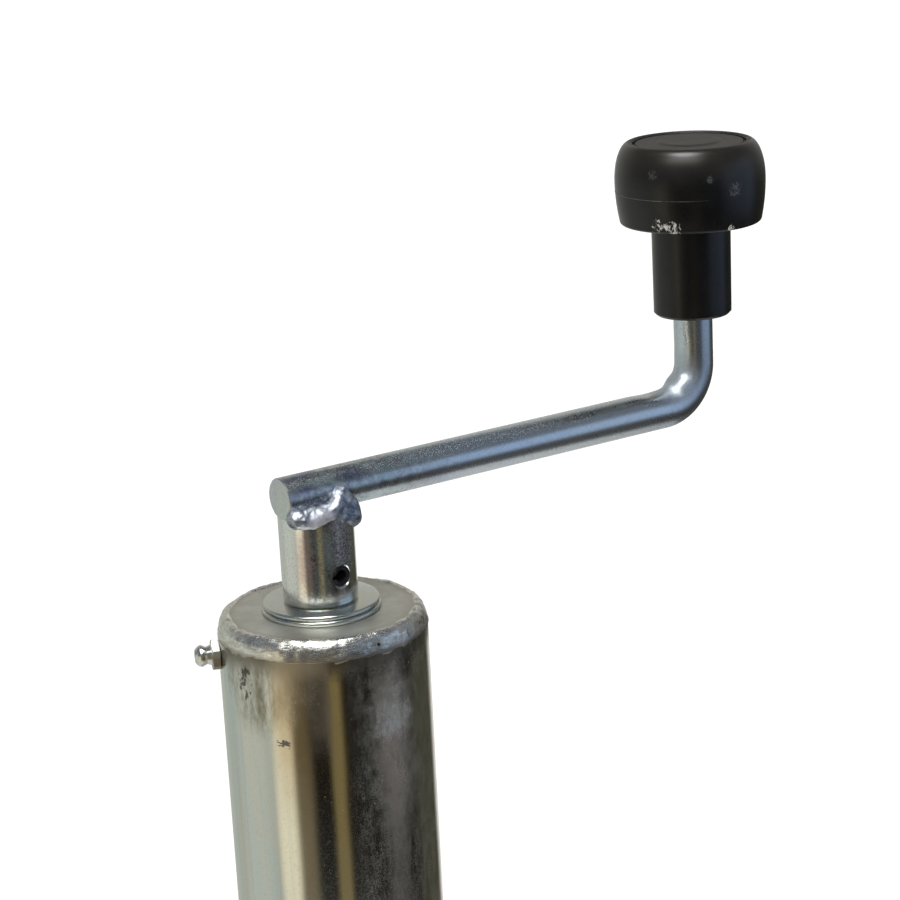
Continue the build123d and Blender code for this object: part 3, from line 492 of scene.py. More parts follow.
def bead_plating():
    """The cap's bead: bright and streaked along the run, brown at its foot, and on the right pitted and
    painted darker as shade.
    """
    p = new_paint("bead_plating")
    point = p.point()
    x, y, z = p.axes(point)
    angle = p.turn(x, y)
    along = angle * 0.029
    streaks = p.noise(p.vector(along * 0.28, z * 1.4, length(x, y)), 0.0011, 4.0, 0.7)
    clouds = p.noise(point, 0.0045, 4.0, 0.65)
    fine = p.noise(point, 0.0005, 2.0, 0.7)
    colour = p.mix(streaks.rise(0.38, 0.62), (0.66, 0.64, 0.57), (0.84, 0.84, 0.80))
    colour = p.mix(clouds.rise(0.5, 0.7) * 0.4, colour, (0.42, 0.38, 0.30))
    foot = (z + 0.0022 * clouds).rise(0.1773, 0.1755)
    colour = p.mix(foot * 0.7, colour, (0.24, 0.205, 0.15))
    # On the right side: pits, and a darker tone over them that is painted shade.
    right = angle.rise(radians(-86), radians(-72)) * angle.rise(radians(-12), radians(-30))
    pits_and_painted_shade = right * p.noise(point, 0.0024, 4.0, 0.7).rise(0.42, 0.55)
    colour = p.mix(fine.rise(0.5, 0.66) * 0.5, colour, (0.36, 0.34, 0.29))
    colour = p.mix(pits_and_painted_shade * 0.7, colour, (0.22, 0.21, 0.185))
    pore = p.away(point, (0.0003, -0.0292, 0.1770)).rise(0.0009, 0.0005)
    colour = p.mix(pore, colour, (0.01, 0.01, 0.01))
    roughness = 0.22 + 0.10 * fine + 0.15 * foot + 0.1 * pits_and_painted_shade
    normal = p.bump(streaks, 0.00014)
    normal = p.bump(clouds, 0.0001, normal)
    normal = p.bump(fine, 0.000012, normal)
    return p.finish(colour, roughness, 1.0 - 0.7 * pore - 0.3 * pits_and_painted_shade, normal)


def drop_plating():
    """The crank's weld: slate blue drops with bright flecks, and a pale smear across their front."""
    p = new_paint("drop_plating")
    point = p.point()
    clouds = p.noise(point, 0.0026, 4.0, 0.65)
    fine = p.noise(point, 0.0006, 3.0, 0.7)
    colour = p.mix(clouds.rise(0.35, 0.65), (0.15, 0.17, 0.22), (0.52, 0.55, 0.60))
    colour = p.mix(fine.rise(0.58, 0.68) * 0.7, colour, (0.78, 0.80, 0.84))
    smear = p.away(p.stretched(point, (0.75, 1.0, 1.0)), (-0.0030, -0.0100, 0.2085))
    smear = (smear + 0.003 * clouds).rise(0.0056, 0.0040)
    colour = p.mix(smear * (0.3 + 0.6 * fine), colour, (0.66, 0.65, 0.68))
    roughness = 0.34 + 0.20 * fine + 0.14 * smear
    normal = p.bump(clouds, 0.00014)
    normal = p.bump(fine, 0.00004, normal)
    return p.finish(colour, roughness, 1.0 - 0.35 * smear, normal)


def nipple_plating(hex_end):
    """The grease nipple: bright head, and a hexagon browned by old grease, darker towards its bottom.
    """
    p = new_paint("nipple_plating")
    point = p.point()
    x, y, z = p.axes(point)
    fine = p.noise(point, 0.0007, 3.0, 0.7)
    colour = p.mix(fine.rise(0.4, 0.7), (0.68, 0.68, 0.63), (0.76, 0.76, 0.73))
    foot = (length(x, y) + 0.0006 * fine).rise(hex_end + 0.0007, hex_end + 0.0002)
    low = (z + 0.002 * fine).rise(0.1720, 0.1705)
    colour = p.mix(foot * (0.25 + 0.65 * low), colour, (0.17, 0.13, 0.07))
    roughness = 0.14 + 0.12 * fine + 0.25 * foot
    return p.finish(colour, roughness, 1.0 - 0.4 * foot * low, p.bump(fine, 0.00001))


def fastener_plating():
    """Bolts, nuts and their washers: bright zinc with scuffed, slightly yellowed flats."""
    p = new_paint("fastener_plating")
    point = p.point()
    colour, roughness = plating(p, point, ((0.60, 0.63, 0.64), (0.68, 0.65, 0.53), (0.38, 0.38, 0.36)))
    scuff = p.noise(p.stretched(point, (1.0, 1.0, 0.25)), 0.0013, 3.0, 0.7)
    colour = p.mix(scuff.rise(0.62, 0.72) * 0.5, colour, (0.25, 0.24, 0.22))
    return p.finish(colour, roughness + 0.1, 1.0, p.bump(scuff, 0.00002))


def sheet_plating():
    """Fork, cup, plug and guide boss: zinc over hot rolled steel, so a slight orange peel shows."""
    p = new_paint("sheet_plating")
    point = p.point()
    colour, roughness = plating(
        p, point, ((0.58, 0.60, 0.60), (0.63, 0.61, 0.56), (0.42, 0.42, 0.40)), (1.0, 1.0, 0.5)
    )
    peel = p.noise(point, 0.0022, 3.0, 0.6)
    wear = p.noise(point, 0.03, 5.0, 0.7)
    colour = p.mix(wear.rise(0.55, 0.75) * 0.4, colour, (0.36, 0.35, 0.31))
    roughness = roughness + 0.14 + 0.12 * wear
    return p.finish(colour, roughness, 1.0, p.bump(peel, 0.00004))


def black_steel():
    """The blackened spring pin, worn bright on its lip."""
    p = new_paint("black_steel")
    point = p.point()
    fine = p.noise(point, 0.0005, 3.0, 0.75)
    worn = fine.rise(0.62, 0.7)
    colour = p.mix(worn * 0.7, (0.012, 0.012, 0.013), (0.55, 0.55, 0.55))
    return p.finish(colour, 0.3 + 0.25 * fine, 0.4 + 0.5 * worn, p.bump(fine, 0.000015))


def ground_steel():
    """Races, rollers and pins: ground and oiled."""
    p = new_paint("ground_steel")
    point = p.point()
    fine = p.noise(p.stretched(point, (1.0, 1.0, 0.2)), 0.0006, 3.0, 0.7)
    oil = p.noise(point, 0.01, 3.0, 0.6)
    colour = p.mix(oil.rise(0.5, 0.7) * 0.5, (0.62, 0.62, 0.63), (0.48, 0.42, 0.30))
    return p.finish(colour, 0.12 + 0.15 * fine, 1.0, p.bump(fine, 0.000004))


def turned_steel():
    """The spindle and the axle sleeve: turned bright and greased."""
    p = new_paint("turned_steel")
    point = p.point()
    turning = p.noise(p.stretched(point, (0.05, 0.05, 1.0)), 0.0005, 2.0, 0.6)
    grease = p.noise(point, 0.008, 4.0, 0.65).rise(0.5, 0.7)
    colour = p.mix(grease * 0.6, (0.52, 0.52, 0.52), (0.22, 0.17, 0.10))
    roughness = 0.25 + 0.1 * turning + 0.15 * grease
    return p.finish(colour, roughness, 1.0 - 0.3 * grease, p.bump(turning, 0.000008))


def knob_plastic():
    """Moulded black plastic, satin, with a painted brownish sheen on top, and pale scuffs where it has
    been dropped.
    """
    p = new_paint("knob_plastic")
    point = p.point()
    local = p.moved(point, (-arm, 0.0, 0.0))
    x, y, z = p.axes(local)
    grain = p.noise(point, 0.0009, 3.0, 0.65)
    cloud = p.noise(point, 0.011, 3.0, 0.6)
    colour = p.mix(cloud.rise(0.3, 0.7), (0.0030, 0.0028, 0.0030), (0.0070, 0.0062, 0.0058))
    # Painted sheen: the top is painted a lighter brown, where the overhead light shines on it.
    painted_top_sheen = (z + 0.004 * cloud).rise(knob_top - 0.010, knob_top)
    colour = p.mix(painted_top_sheen * 0.7, colour, (0.022, 0.018, 0.013))

    ragged = p.noise(p.stretched(point, (1.0, 1.0, 0.7)), 0.0010, 4.0, 0.75)
    low_edge = ((-143, 0.2732, 0.0040), (-155, 0.2738, 0.0036), (-96, 0.2722, 0.0022))
    chips = p.patches(local, 0.0215, low_edge)
    chips = (ragged + 0.27 * chips).rise(0.74, 0.78)
    bulge = ((-114, 0.2874, 0.0020), (-94, 0.2836, 0.0042), (-159, 0.2890, 0.0032))
    scuffs = p.patches(local, 0.0227, bulge)
    fine = p.noise(point, 0.0006, 4.0, 0.75)
    scuffs = (0.5 * fine + 0.5 * ragged + 0.22 * scuffs).rise(0.66, 0.80)
    colour = p.mix(scuffs * 0.36, colour, (0.16, 0.165, 0.17))
    colour = p.mix(chips * 0.95, colour, (0.66, 0.64, 0.57))
    scratches = p.noise(p.stretched(point, (1.0, 1.0, 6.0)), 0.006, 5.0, 0.7, 0.8).rise(0.66, 0.72)
    colour = p.mix(scratches * 0.35, colour, (0.07, 0.07, 0.07))
    lid = length(x, y).rise(0.0190, 0.0180) * z.rise(knob_top - 0.002, knob_top - 0.001)
    roughness = 0.22 + 0.08 * grain + 0.08 * cloud + 0.3 * chips + 0.22 * lid
    normal = p.bump(grain, 0.000012)
    return p.finish(colour, roughness, 0.0, p.bump(chips, -0.0002, normal), IOR=1.43)


def ridge_plastic():
    """The mould's parting ridge: the same plastic, with a painted highlight that makes it paler on its
    left side.
    """
    p = new_paint("ridge_plastic")
    rubbed = p.noise(p.point(), 0.006, 3.0, 0.6)
    x, y = p.axes(p.point())[:2]
    right_x, right_y = 0.835, -0.550
    to_the_right = (x - arm) * right_x + y * right_y
    # Painted highlight: the ridge is painted paler towards the left, in patches.
    rubbed = to_the_right.rise(0.004, -0.012) * rubbed.rise(0.35, 0.6)
    colour = p.mix(rubbed, (0.006, 0.006, 0.006), (0.11, 0.105, 0.095))
    return p.finish(colour, 0.45 + 0.1 * rubbed, IOR=1.4)


def guide_plastic():
    """Nylon bushes: black, slightly dusty, with turning marks."""
    p = new_paint("guide_plastic")
    point = p.point()
    grain = p.noise(p.stretched(point, (0.3, 0.3, 1.0)), 0.0008, 3.0, 0.6)
    dust = p.noise(point, 0.007, 4.0, 0.65)
    colour = p.mix(dust.rise(0.5, 0.75) * 0.6, (0.022, 0.022, 0.024), (0.075, 0.072, 0.068))
    return p.finish(colour, 0.42 + 0.15 * dust, 0.0, p.bump(grain, 0.000015))


def rim_paint():
    """Silver powder coat on the wheel's halves, with an orange peel and road film near the tyre."""
    p = new_paint("rim_paint")
    point = p.point()
    peel = p.noise(point, 0.0016, 3.0, 0.6)
    sparkle = p.noise(point, 0.0003, 2.0, 0.8)
    colour = p.mix(sparkle.rise(0.4, 0.7), (0.44, 0.45, 0.46), (0.56, 0.57, 0.58))
    film = p.noise(point, 0.02, 5.0, 0.7)
    colour = p.mix(film.rise(0.5, 0.8) * 0.4, colour, (0.27, 0.25, 0.22))
    roughness = 0.36 + 0.15 * film
    return p.finish(colour, roughness, 0.55, p.bump(peel, 0.00003))


def tyre_rubber():
    """Solid rubber: grey where the tread has rolled, black in the grooves and on the walls."""
    p = new_paint("tyre_rubber")
    point = p.point()
    x, _, z = p.axes(p.moved(point, (-wheel_x, 0.0, -wheel_z)))
    r = length(x, z)
    grain = p.noise(point, 0.0012, 4.0, 0.7)
    cloud = p.noise(point, 0.018, 4.0, 0.65)
    colour = p.mix(cloud.rise(0.3, 0.7), (0.020, 0.020, 0.020), (0.034, 0.033, 0.032))
    tread = (r + 0.004 * cloud).rise(tyre_r - 0.006, tyre_r - 0.001)
    colour = p.mix(tread * 0.7, colour, (0.085, 0.080, 0.072))
    dust = p.noise(point, 0.004, 5.0, 0.75).rise(0.55, 0.75)
    colour = p.mix(dust * 0.3, colour, (0.12, 0.11, 0.095))
    roughness = 0.62 + 0.18 * cloud
    return p.finish(colour, roughness, 0.0, p.bump(grain, 0.00006))


def bronze():
    """Sintered bushes and the spindle's nut."""
    p = new_paint("bronze")
    point = p.point()
    pores = p.noise(point, 0.0005, 3.0, 0.8)
    oil = p.noise(point, 0.007, 3.0, 0.6).rise(0.5, 0.7)
    colour = p.mix(pores.rise(0.45, 0.7), (0.36, 0.23, 0.10), (0.58, 0.40, 0.19))
    colour = p.mix(oil * 0.5, colour, (0.20, 0.13, 0.06))
    return p.finish(colour, 0.32 + 0.15 * pores, 0.9, p.bump(pores, 0.000015))


def cage_brass():
    """The pressed cages of the bearings."""
    p = new_paint("cage_brass")
    point = p.point()
    fine = p.noise(point, 0.0008, 3.0, 0.7)
    colour = p.mix(fine.rise(0.4, 0.7), (0.58, 0.43, 0.17), (0.66, 0.52, 0.26))
    return p.finish(colour, 0.25 + 0.15 * fine, 1.0, p.bump(fine, 0.000008))


def dress(material, *names):
    """Gives CAD nodes a finish."""
    for name in names:
        nodes[name].material_slots[0].material = material


def added(name):
    """The primitive just added, named, with its place moved into its mesh."""
    piece = bpy.context.object
    piece.name = name
    piece.data.name = name
    bpy.ops.object.transform_apply(location=True, rotation=True, scale=True)
    return piece


def choose(piece, wanted):
    """In edit mode, selects the vertices whose place is wanted, and nothing else."""
    mesh = bmesh.from_edit_mesh(piece.data)
    for face in mesh.faces:
        face.select = False
    for edge in mesh.edges:
        edge.select = False
    for vertex in mesh.verts:
        vertex.select = bool(wanted(vertex.co))
    mesh.select_flush(True)
    bmesh.update_edit_mesh(piece.data)


def lumps(piece, size, height):
    """Pushes a fine mesh in and out by cloudy lumps, then makes that its shape."""
    texture = bpy.data.textures.new(piece.name + "_lumps", "CLOUDS")
    texture.noise_scale = size
    texture.noise_depth = 2
    modifier = piece.modifiers.new("lumps", "DISPLACE")
    modifier.texture = texture
    modifier.texture_coords = "LOCAL"
    modifier.mid_level = 0.5
    modifier.strength = height
    bpy.ops.object.modifier_apply(modifier="lumps")


def extend(move):
    """In edit mode, draws the chosen end out and leaves its new place chosen."""
    bpy.ops.mesh.extrude_region_move(TRANSFORM_OT_translate={"value": move})


def swell(ratio, centre):
    """In edit mode, makes the chosen end's ring larger or smaller."""
    bpy.ops.transform.resize(value=(ratio, ratio, ratio), center_override=centre)


def nudge(piece, place, move, reach):
    """In edit mode, moves a spot and, less and less, everything within reach of it."""
    spot = Vector(place)
    choose(piece, lambda co: (co - spot).length < 0.0005)
    bpy.ops.transform.translate(
        value=move,
        use_proportional_edit=True,
        proportional_edit_falloff="SMOOTH",
        proportional_size=reach,
    )


def settle(piece, body, material, slot, *replaced):
    """Shades a finished piece, gives it its finish and puts it on its body."""
    piece.data.materials.clear()
    piece.data.materials.append(material)
    bpy.ops.object.shade_smooth_by_angle(angle=radians(40))
    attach(piece, body)
    if replaced:
        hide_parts(*replaced)
    piece.select_set(False)


def cap_bead(material):
    """The weld round the cap: a flattened ring pushed about into low lumps."""
    low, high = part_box("cap_weld")
    width = 0.0030
    height = high.z - low.z
    bpy.ops.mesh.primitive_torus_add(
        major_segments=640,
        minor_segments=56,
        major_radius=tube_r - width - 0.0001,
        minor_radius=width,
        location=(0, 0, low.z),
    )
    piece = added("cap_bead")
    bpy.ops.object.mode_set(mode="EDIT")
    bpy.ops.mesh.select_all(action="SELECT")
    bpy.ops.transform.resize(value=(1, 1, height / width), center_override=(0, 0, low.z))
    choose(piece, lambda co: co.z < low.z - 0.00001)
    bpy.ops.transform.resize(value=(1, 1, 0.4), center_override=(0, 0, low.z))
    bpy.ops.object.mode_set(mode="OBJECT")
    lumps(piece, 0.0075, 0.0009)
    lumps(piece, 0.0022, 0.00040)
    lumps(piece, 0.0010, 0.00036)
    settle(piece, "outer_leg", material, "weld_steel", "cap_weld")


def pressed_washer(name, body, material):
    """A washer stamped from sheet: its outer edge rolled over on both faces."""
    low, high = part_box(name)
    outer = high.x
    bore = 0.0181 / 2
    roll = 0.0006
    bpy.ops.mesh.primitive_circle_add(
        vertices=160, radius=bore, fill_type="NOTHING", location=(0, 0, low.z)
    )
    piece = added("pressed_" + name)
    outline = [(outer - roll, low.z)]
    for centre, turns in ((low.z + roll, (-60, -30, 0)), (high.z - roll, (0, 30, 60, 90))):
        for turn in turns:
            reach = roll * cos(radians(turn))
            outline.append((outer - roll + reach, centre + roll * sin(radians(turn))))
    outline.append((bore, high.z))
    bpy.ops.object.mode_set(mode="EDIT")
    bpy.ops.mesh.select_all(action="SELECT")
    r, z = bore, low.z
    for next_r, next_z in outline:
        extend((0, 0, next_z - z))
        bpy.ops.transform.resize(value=(next_r / r, next_r / r, 1), center_override=(0, 0, next_z))
        r, z = next_r, next_z
    choose(piece, lambda co: length(co.x, co.y) < bore + 0.00001)
    bpy.ops.mesh.bridge_edge_loops()
    bpy.ops.mesh.select_all(action="SELECT")
    bpy.ops.mesh.normals_make_consistent(inside=False)
    bpy.ops.object.mode_set(mode="OBJECT")
    settle(piece, body, material, "zinc_bright", name)


def crank_bead(material):
    """The weld between bar and collar: drops of metal run together along both sides of the bar."""
    # Each drop's place along the bar, its distance out from the bar's middle, its rise and its radius
    drops = [
        (-0.0102, 0.0068, -0.0046, 0.0023),
        (-0.0082, 0.0076, -0.0052, 0.0027),
        (-0.0056, 0.0082, -0.0056, 0.0028),
        (-0.0030, 0.0086, -0.0050, 0.0026),
        (-0.0004, 0.0086, -0.0048, 0.0026),
        (0.0018, 0.0082, -0.0036, 0.0027),
        (0.0036, 0.0068, -0.0022, 0.0030),
        (0.0050, 0.0058, -0.0006, 0.0028),
        (0.0062, 0.0064, -0.0034, 0.0034),
        (0.0066, 0.0070, -0.0066, 0.0036),
        (0.0078, 0.0062, -0.0076, 0.0032),
        (0.0026, 0.0084, -0.0060, 0.0025),
        (0.0046, 0.0078, -0.0062, 0.0027),
    ]
    parts = []
    # A plain run of metal under the drops
    for filler in range(9):
        drops.append((-0.0098 + 0.0021 * filler, 0.0066, -0.0046, 0.0031))
    behind = [drop for drop in drops if drop[0] > -0.0070]
    for side, run in ((-1, drops), (1, behind)):
        for x, out, drop, r in run:
            place = (x, side * out, bar_z + drop)
            bpy.ops.mesh.primitive_ico_sphere_add(subdivisions=4, radius=r, location=place)
            parts.append(bpy.context.object)
    bpy.ops.object.select_all(action="DESELECT")
    for part in parts:
        part.select_set(True)
    bpy.context.view_layer.objects.active = parts[0]
    bpy.ops.object.join()
    piece = added("crank_bead")
    skin = piece.modifiers.new("skin", "REMESH")
    skin.mode = "VOXEL"
    skin.voxel_size = 0.00025
    bpy.ops.object.modifier_apply(modifier="skin")
    soften = piece.modifiers.new("soften", "SMOOTH")
    soften.factor = 0.8
    soften.iterations = 40
    bpy.ops.object.modifier_apply(modifier="soften")
    lumps(piece, 0.0042, 0.0008)
    lumps(piece, 0.0013, 0.00026)
    settle(piece, "crank", material, "weld_steel", "crank_weld")


def bent_bar(material):
    """The crank's bar: bent cold over a small former, which has squeezed its inner corner."""
    edge = 0.0003
    end_bevel = 0.0008
    groove_low = bar_top - 0.0039
    groove_high = bar_top - 0.0024
    groove = (bar_r - 0.0007) / bar_r
    bend_start = arm - bend_r
    bend_end = bar_z + bend_r
    plain_cuts = 30
    cuts_before = 16
    cuts_after = 15
    cut = 0.0008
    ridge_turn = radians(33)
    bpy.ops.mesh.primitive_circle_add(
        vertices=96,
        radius=bar_r - edge,
        fill_type="NGON",
        location=(bar_low.x, 0, bar_z),
        rotation=(0, pi / 2, 0),
    )
    piece = added("bent_bar")
    bpy.ops.object.mode_set(mode="EDIT")
    bpy.ops.mesh.select_all(action="SELECT")
    extend((edge, 0, 0))
    swell(bar_r / (bar_r - edge), (bar_low.x + edge, 0, bar_z))
    plain = bend_start - cuts_before * cut - bar_low.x - edge
    for move, count in ((plain / plain_cuts, plain_cuts), (cut, cuts_before)):
        for repeat in range(count):
            extend((move, 0, 0))
    bpy.ops.mesh.spin(steps=40, angle=pi / 2, center=(bend_start, 0, bend_end), axis=(0, 1, 0))
    choose(piece, lambda co: co.z > bend_end - 0.0001)
    for repeat in range(cuts_after):
        extend((0, 0, cut))
    extend((0, 0, groove_low - bend_end - cuts_after * cut))
    extend((0, 0, 0))
    swell(groove, (arm, 0, groove_low))
    extend((0, 0, groove_high - groove_low))
    extend((0, 0, 0))
    swell(1 / groove, (arm, 0, groove_high))
    extend((0, 0, bar_top - end_bevel - groove_high))
    extend((0, 0, end_bevel))
    swell((bar_r - end_bevel) / bar_r, (arm, 0, bar_top))

    corner = Vector((bend_start, 0, bend_end))
    inward = Vector((1, 0, -1)).normalized()
    inner = corner + inward * (bend_r - bar_r)
    nudge(piece, inner, -inward * 0.0007, 0.008)
    for side in (-1, 1):
        ridge = corner + inward * (bend_r - bar_r * cos(ridge_turn))
        ridge.y = side * bar_r * sin(ridge_turn)
        nudge(piece, ridge, -inward * 0.0005 + Vector((0, side * 0.0003, 0)), 0.0035)
    nudge(piece, (arm - bar_r, 0, bend_end + 0.006), (0.0003, 0, 0), 0.006)
    nudge(piece, (bend_start - 0.006, 0, bar_z + bar_r), (0, 0, -0.0003), 0.006)
    bpy.ops.object.mode_set(mode="OBJECT")
    settle(piece, "crank", material, "zinc_bright", "crank_rod")


def parting_line(material):
    """The fine ridge that the mould's halves left round the knob, worn off on one side, with a painted
    highlight along part of it.
    """
    ridge_r = 0.0227
    ridge_z = knob_top - 0.0147
    thickness = 0.0001
    bpy.ops.mesh.primitive_torus_add(
        major_segments=180,
        minor_segments=8,
        major_radius=ridge_r,
        minor_radius=thickness,
        location=(arm, 0, ridge_z),
    )
    piece = added("knob_parting_line")
    bpy.ops.object.mode_set(mode="EDIT")
    worn = Vector((cos(radians(-75)), sin(radians(-75)), 0))
    place = Vector((arm, 0, ridge_z)) + worn * (ridge_r + thickness)
    choose(piece, lambda co: (co - place).length < 0.002)
    bpy.ops.transform.translate(
        value=-worn * 0.0003,
        use_proportional_edit=True,
        proportional_edit_falloff="SMOOTH",
        proportional_size=0.022,
    )
    bpy.ops.object.mode_set(mode="OBJECT")
    settle(piece, "knob", material, "black_plastic")


def tyre_rib(side, r, material):
    """A low moulded rib round one wall of the tyre."""
    centre = (wheel_x, side * tyre_high.y, wheel_z)
    bpy.ops.mesh.primitive_torus_add(
        major_segments=160,
        minor_segments=16,
        major_radius=r,
        minor_radius=0.0011,
        location=centre,
        rotation=(pi / 2, 0, 0),
    )
    piece = added("tyre_rib")
    bpy.ops.object.mode_set(mode="EDIT")
    bpy.ops.mesh.select_all(action="SELECT")
    bpy.ops.transform.resize(value=(1, 0.55, 1), center_override=centre)
    bpy.ops.object.mode_set(mode="OBJECT")
    settle(piece, "wheel", material, "tyre_rubber")


def make_camera():
    """The photograph's camera."""
    forward = Vector(
        (
            cos(camera_heading) * cos(camera_pitch),
            sin(camera_heading) * cos(camera_pitch),
            sin(camera_pitch),
        )
    )
    level = forward.cross(Vector((0, 0, 1))).normalized()
    up = level.cross(forward)
    right = cos(camera_roll) * level + sin(camera_roll) * up
    lifted = right.cross(forward)
    data = bpy.data.cameras.new("camera")
    data.lens = camera_lens
    data.sensor_width = 36.0
    camera = bpy.data.objects.new("camera", data)
    bpy.context.scene.collection.objects.link(camera)
    camera.rotation_mode = "QUATERNION"
    rotation = [[right[i], lifted[i], -forward[i]] for i in range(3)]
    camera.rotation_quaternion = Matrix(rotation).to_quaternion()
    camera.location = camera_place
    data.clip_start = 0.01
    data.clip_end = 200.0
    bpy.context.scene.camera = camera


def seen(p):
    """1 for what the camera sees, straight on or through glass."""
    path = p.tree.nodes.new("ShaderNodeLightPath")
    direct, through = [Socket(p, path.outputs[n]) for n in ("Is Camera Ray", "Is Transmission Ray")]
    return direct + through - direct * through


def make_world():
    """White to look at, and a soft even light on the object."""
    world = bpy.data.worlds.new("daylight")
    p = Paint(world)
    strength = 0.45 + 0.55 * seen(p)
    back = p.node("ShaderNodeBackground", sockets={"Color": (1, 1, 1, 1), "Strength": strength})
    p.node("ShaderNodeOutputWorld", sockets={"Surface": back})
    bpy.context.scene.world = world


def make_floor():
    """A plain pale floor; it goes down with the inner leg, so that the wheel stays on it."""
    bpy.ops.mesh.primitive_circle_add(
        vertices=64, radius=floor_r, fill_type="NGON", location=(0, 0, tyre_low.z)
    )
    floor = added("floor")
    p = new_paint("floor_paint")
    matt = p.node("ShaderNodeBsdfDiffuse", sockets={"Color": (0.80, 0.80, 0.80, 1.0)})
    glow = p.node("ShaderNodeEmission", sockets={"Color": (1, 1, 1, 1), "Strength": 0.42 * seen(p)})
    both = p.node("ShaderNodeAddShader", sockets={0: matt, 1: glow})
    p.node("ShaderNodeOutputMaterial", sockets={"Surface": both})
    floor.data.materials.append(p.owner)
    floor.parent = bodies["inner_leg"]
    floor.select_set(False)


def make_room():
    """What the bright metal mirrors: walls pale to the left and dark to the right, and a ceiling."""
    bpy.ops.mesh.primitive_cylinder_add(
        vertices=96,
        radius=room_r,
        depth=room_top - room_low,
        location=(0, 0, (room_top + room_low) / 2),
        end_fill_type="NOTHING",
    )
    room = added("room")
    p = new_paint("room_paint")
    x, y, z = p.axes(p.point())
    angle = p.turn(x, y)
    turn = p.node(
        "ShaderNodeMath", {"operation": "WRAP"}, {0: (angle - facing) / (2 * pi), 1: 0.5, 2: -0.5}
    )
    degrees = turn * 360

    # All round at eye level, from the pale left by a dark doorway in front to the dark right
    doorway = p.mix(z.rise(0.02, 0.06), (0.016, 0.013, 0.010), (0.065, 0.075, 0.09))
    walls = p.mix(degrees.rise(-60, -30), (0.50, 0.53, 0.48), doorway)
    for low, high, soft, colour in (
        (-118, -74, 12, (0.62, 0.64, 0.58)),
        (-64, -40, 6, (1.05, 0.95, 0.72)),
        (-40, -22, 6, (0.19, 0.155, 0.095)),
        (0, 14, 4, (0.24, 0.18, 0.075)),
        (58, 84, 9, (0.085, 0.08, 0.08)),
        (104, 146, 10, (0.065, 0.062, 0.042)),
        (152, 200, 8, (0.85, 0.82, 0.76)),
    ):
        walls = p.mix(panel(degrees, low, high, soft), walls, colour)
    behind = abs(turn).rise(0.25, 0.45)
    far_wall = p.mix(z.rise(0.58, 0.85), (0.56, 0.55, 0.51), (0.16, 0.17, 0.19))
    above = p.mix(behind, (0.14, 0.16, 0.19), far_wall)
    front_light = panel(degrees, -52, 22, 14) * z.rise(0.68, 0.96)
    above = p.mix(front_light, above, (4.4, 4.3, 4.05))
    colour = p.mix(z.rise(0.15, 0.36), walls, above)
    window = panel(degrees, 55, 104, 7) * panel(z, 0.10, 0.48, 0.08)
    colour = p.mix(window, colour, (0.44, 0.57, 0.78))
    below = p.mix(panel(degrees, 40, 140, 20), (0.60, 0.60, 0.58), (0.10, 0.10, 0.10))
    colour = p.mix(z.rise(-0.22, -0.30), colour, below)
    glow = p.node("ShaderNodeEmission", sockets={"Color": colour, "Strength": 1.0})
    p.node("ShaderNodeOutputMaterial", sockets={"Surface": glow})
    room.data.materials.append(p.owner)

    bpy.ops.mesh.primitive_circle_add(
        vertices=96, radius=room_r, fill_type="NGON", location=(0, 0, room_top)
    )
    ceiling = added("ceiling")
    p = new_paint("ceiling_paint")
    lit = p.away(p.point(), (-0.17, -0.20, room_top)).rise(0.36, 0.20)
    strength = 0.16 + 15.0 * lit
    glow = p.node("ShaderNodeEmission", sockets={"Color": (0.9, 0.92, 0.94, 1), "Strength": strength})
    p.node("ShaderNodeOutputMaterial", sockets={"Surface": glow})
    ceiling.data.materials.append(p.owner)
    for card in (room, ceiling):
        card.visible_camera = False
        card.visible_diffuse = False
        card.visible_shadow = False
        card.visible_transmission = False
        card.select_set(False)


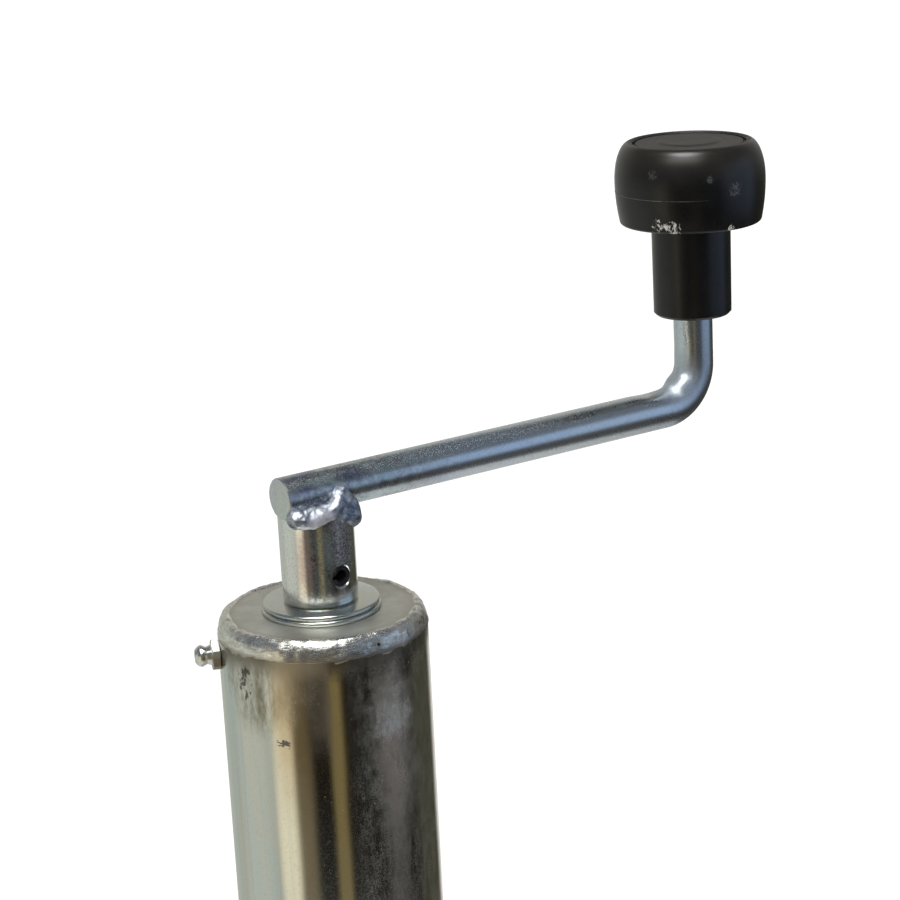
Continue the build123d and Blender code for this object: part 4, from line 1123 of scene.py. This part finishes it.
def make_sun(power, softness, place):
    """A wide, soft, distant lamp that shines from a place towards the middle of the leg."""
    data = bpy.data.lights.new("key", "SUN")
    data.energy = power
    data.angle = softness
    lamp = bpy.data.objects.new("key", data)
    bpy.context.scene.collection.objects.link(lamp)
    lamp.location = place
    lamp.rotation_mode = "QUATERNION"
    lamp.rotation_quaternion = (-Vector(place)).to_track_quat("-Z", "Y")
    lamp.visible_glossy = False


bpy.ops.object.select_all(action="DESELECT")
bpy.context.scene.view_settings.view_transform = "Standard"

dress(tube_plating(), "outer_tube")
dress(slide_plating(), "inner_tube")
dress(cap_plating(), "top_cap")
washer_finish = washer_plating()
dress(washer_finish, "lower_washer", "upper_washer")
dress(collar_plating(), "crank_collar")
bar_finish = bar_plating()
dress(bar_finish, "crank_rod")
dress(weld_metal(), "boss_weld", "plug_weld", "cup_weld", "cap_weld", "crank_weld")
dress(nipple_plating(tube_r + 0.0022), "grease_nipple")
dress(
    fastener_plating(),
    "guide_screw",
    "guide_lock_nut",
    "spindle_end_washer",
    "spindle_end_nut",
    "king_bolt",
    "king_washer",
    "king_nut",
    "split_pin",
    "axle_bolt",
    "axle_nut",
    "axle_washers",
    "hub_shims",
    "rim_bolts",
    "rim_nuts",
)
dress(sheet_plating(), "guide_boss", "swivel_plug", "swivel_cup", "fork")
dress(black_steel(), "collar_pin", "knob_retainer")
dress(
    ground_steel(),
    "cap_race",
    "screw_race",
    "screw_rollers",
    "nut_pins",
    "plug_race",
    "fork_race",
    "swivel_rollers",
)
dress(turned_steel(), "spindle", "axle_sleeve")
knob_finish = knob_plastic()
dress(knob_finish, "knob_body", "knob_cap")
dress(guide_plastic(), "lower_bush", "top_ring")
dress(rim_paint(), "rim_left", "rim_right", "hub_tube", "hub_welds")
rubber = tyre_rubber()
dress(rubber, "tyre")
dress(bronze(), "spindle_nut", "hub_bushes")
dress(cage_brass(), "screw_roller_cage", "swivel_roller_cage")

cap_bead(bead_plating())
pressed_washer("lower_washer", "outer_leg", washer_finish)
pressed_washer("upper_washer", "crank", washer_finish)
crank_bead(drop_plating())
bent_bar(bar_finish)
parting_line(ridge_plastic())
for side in (-1, 1):
    for rib_r in rib_radii:
        tyre_rib(side, rib_r, rubber)

make_camera()
make_world()
make_floor()
make_room()
make_sun(1.5, radians(30), (-0.5, -0.75, 1.6))
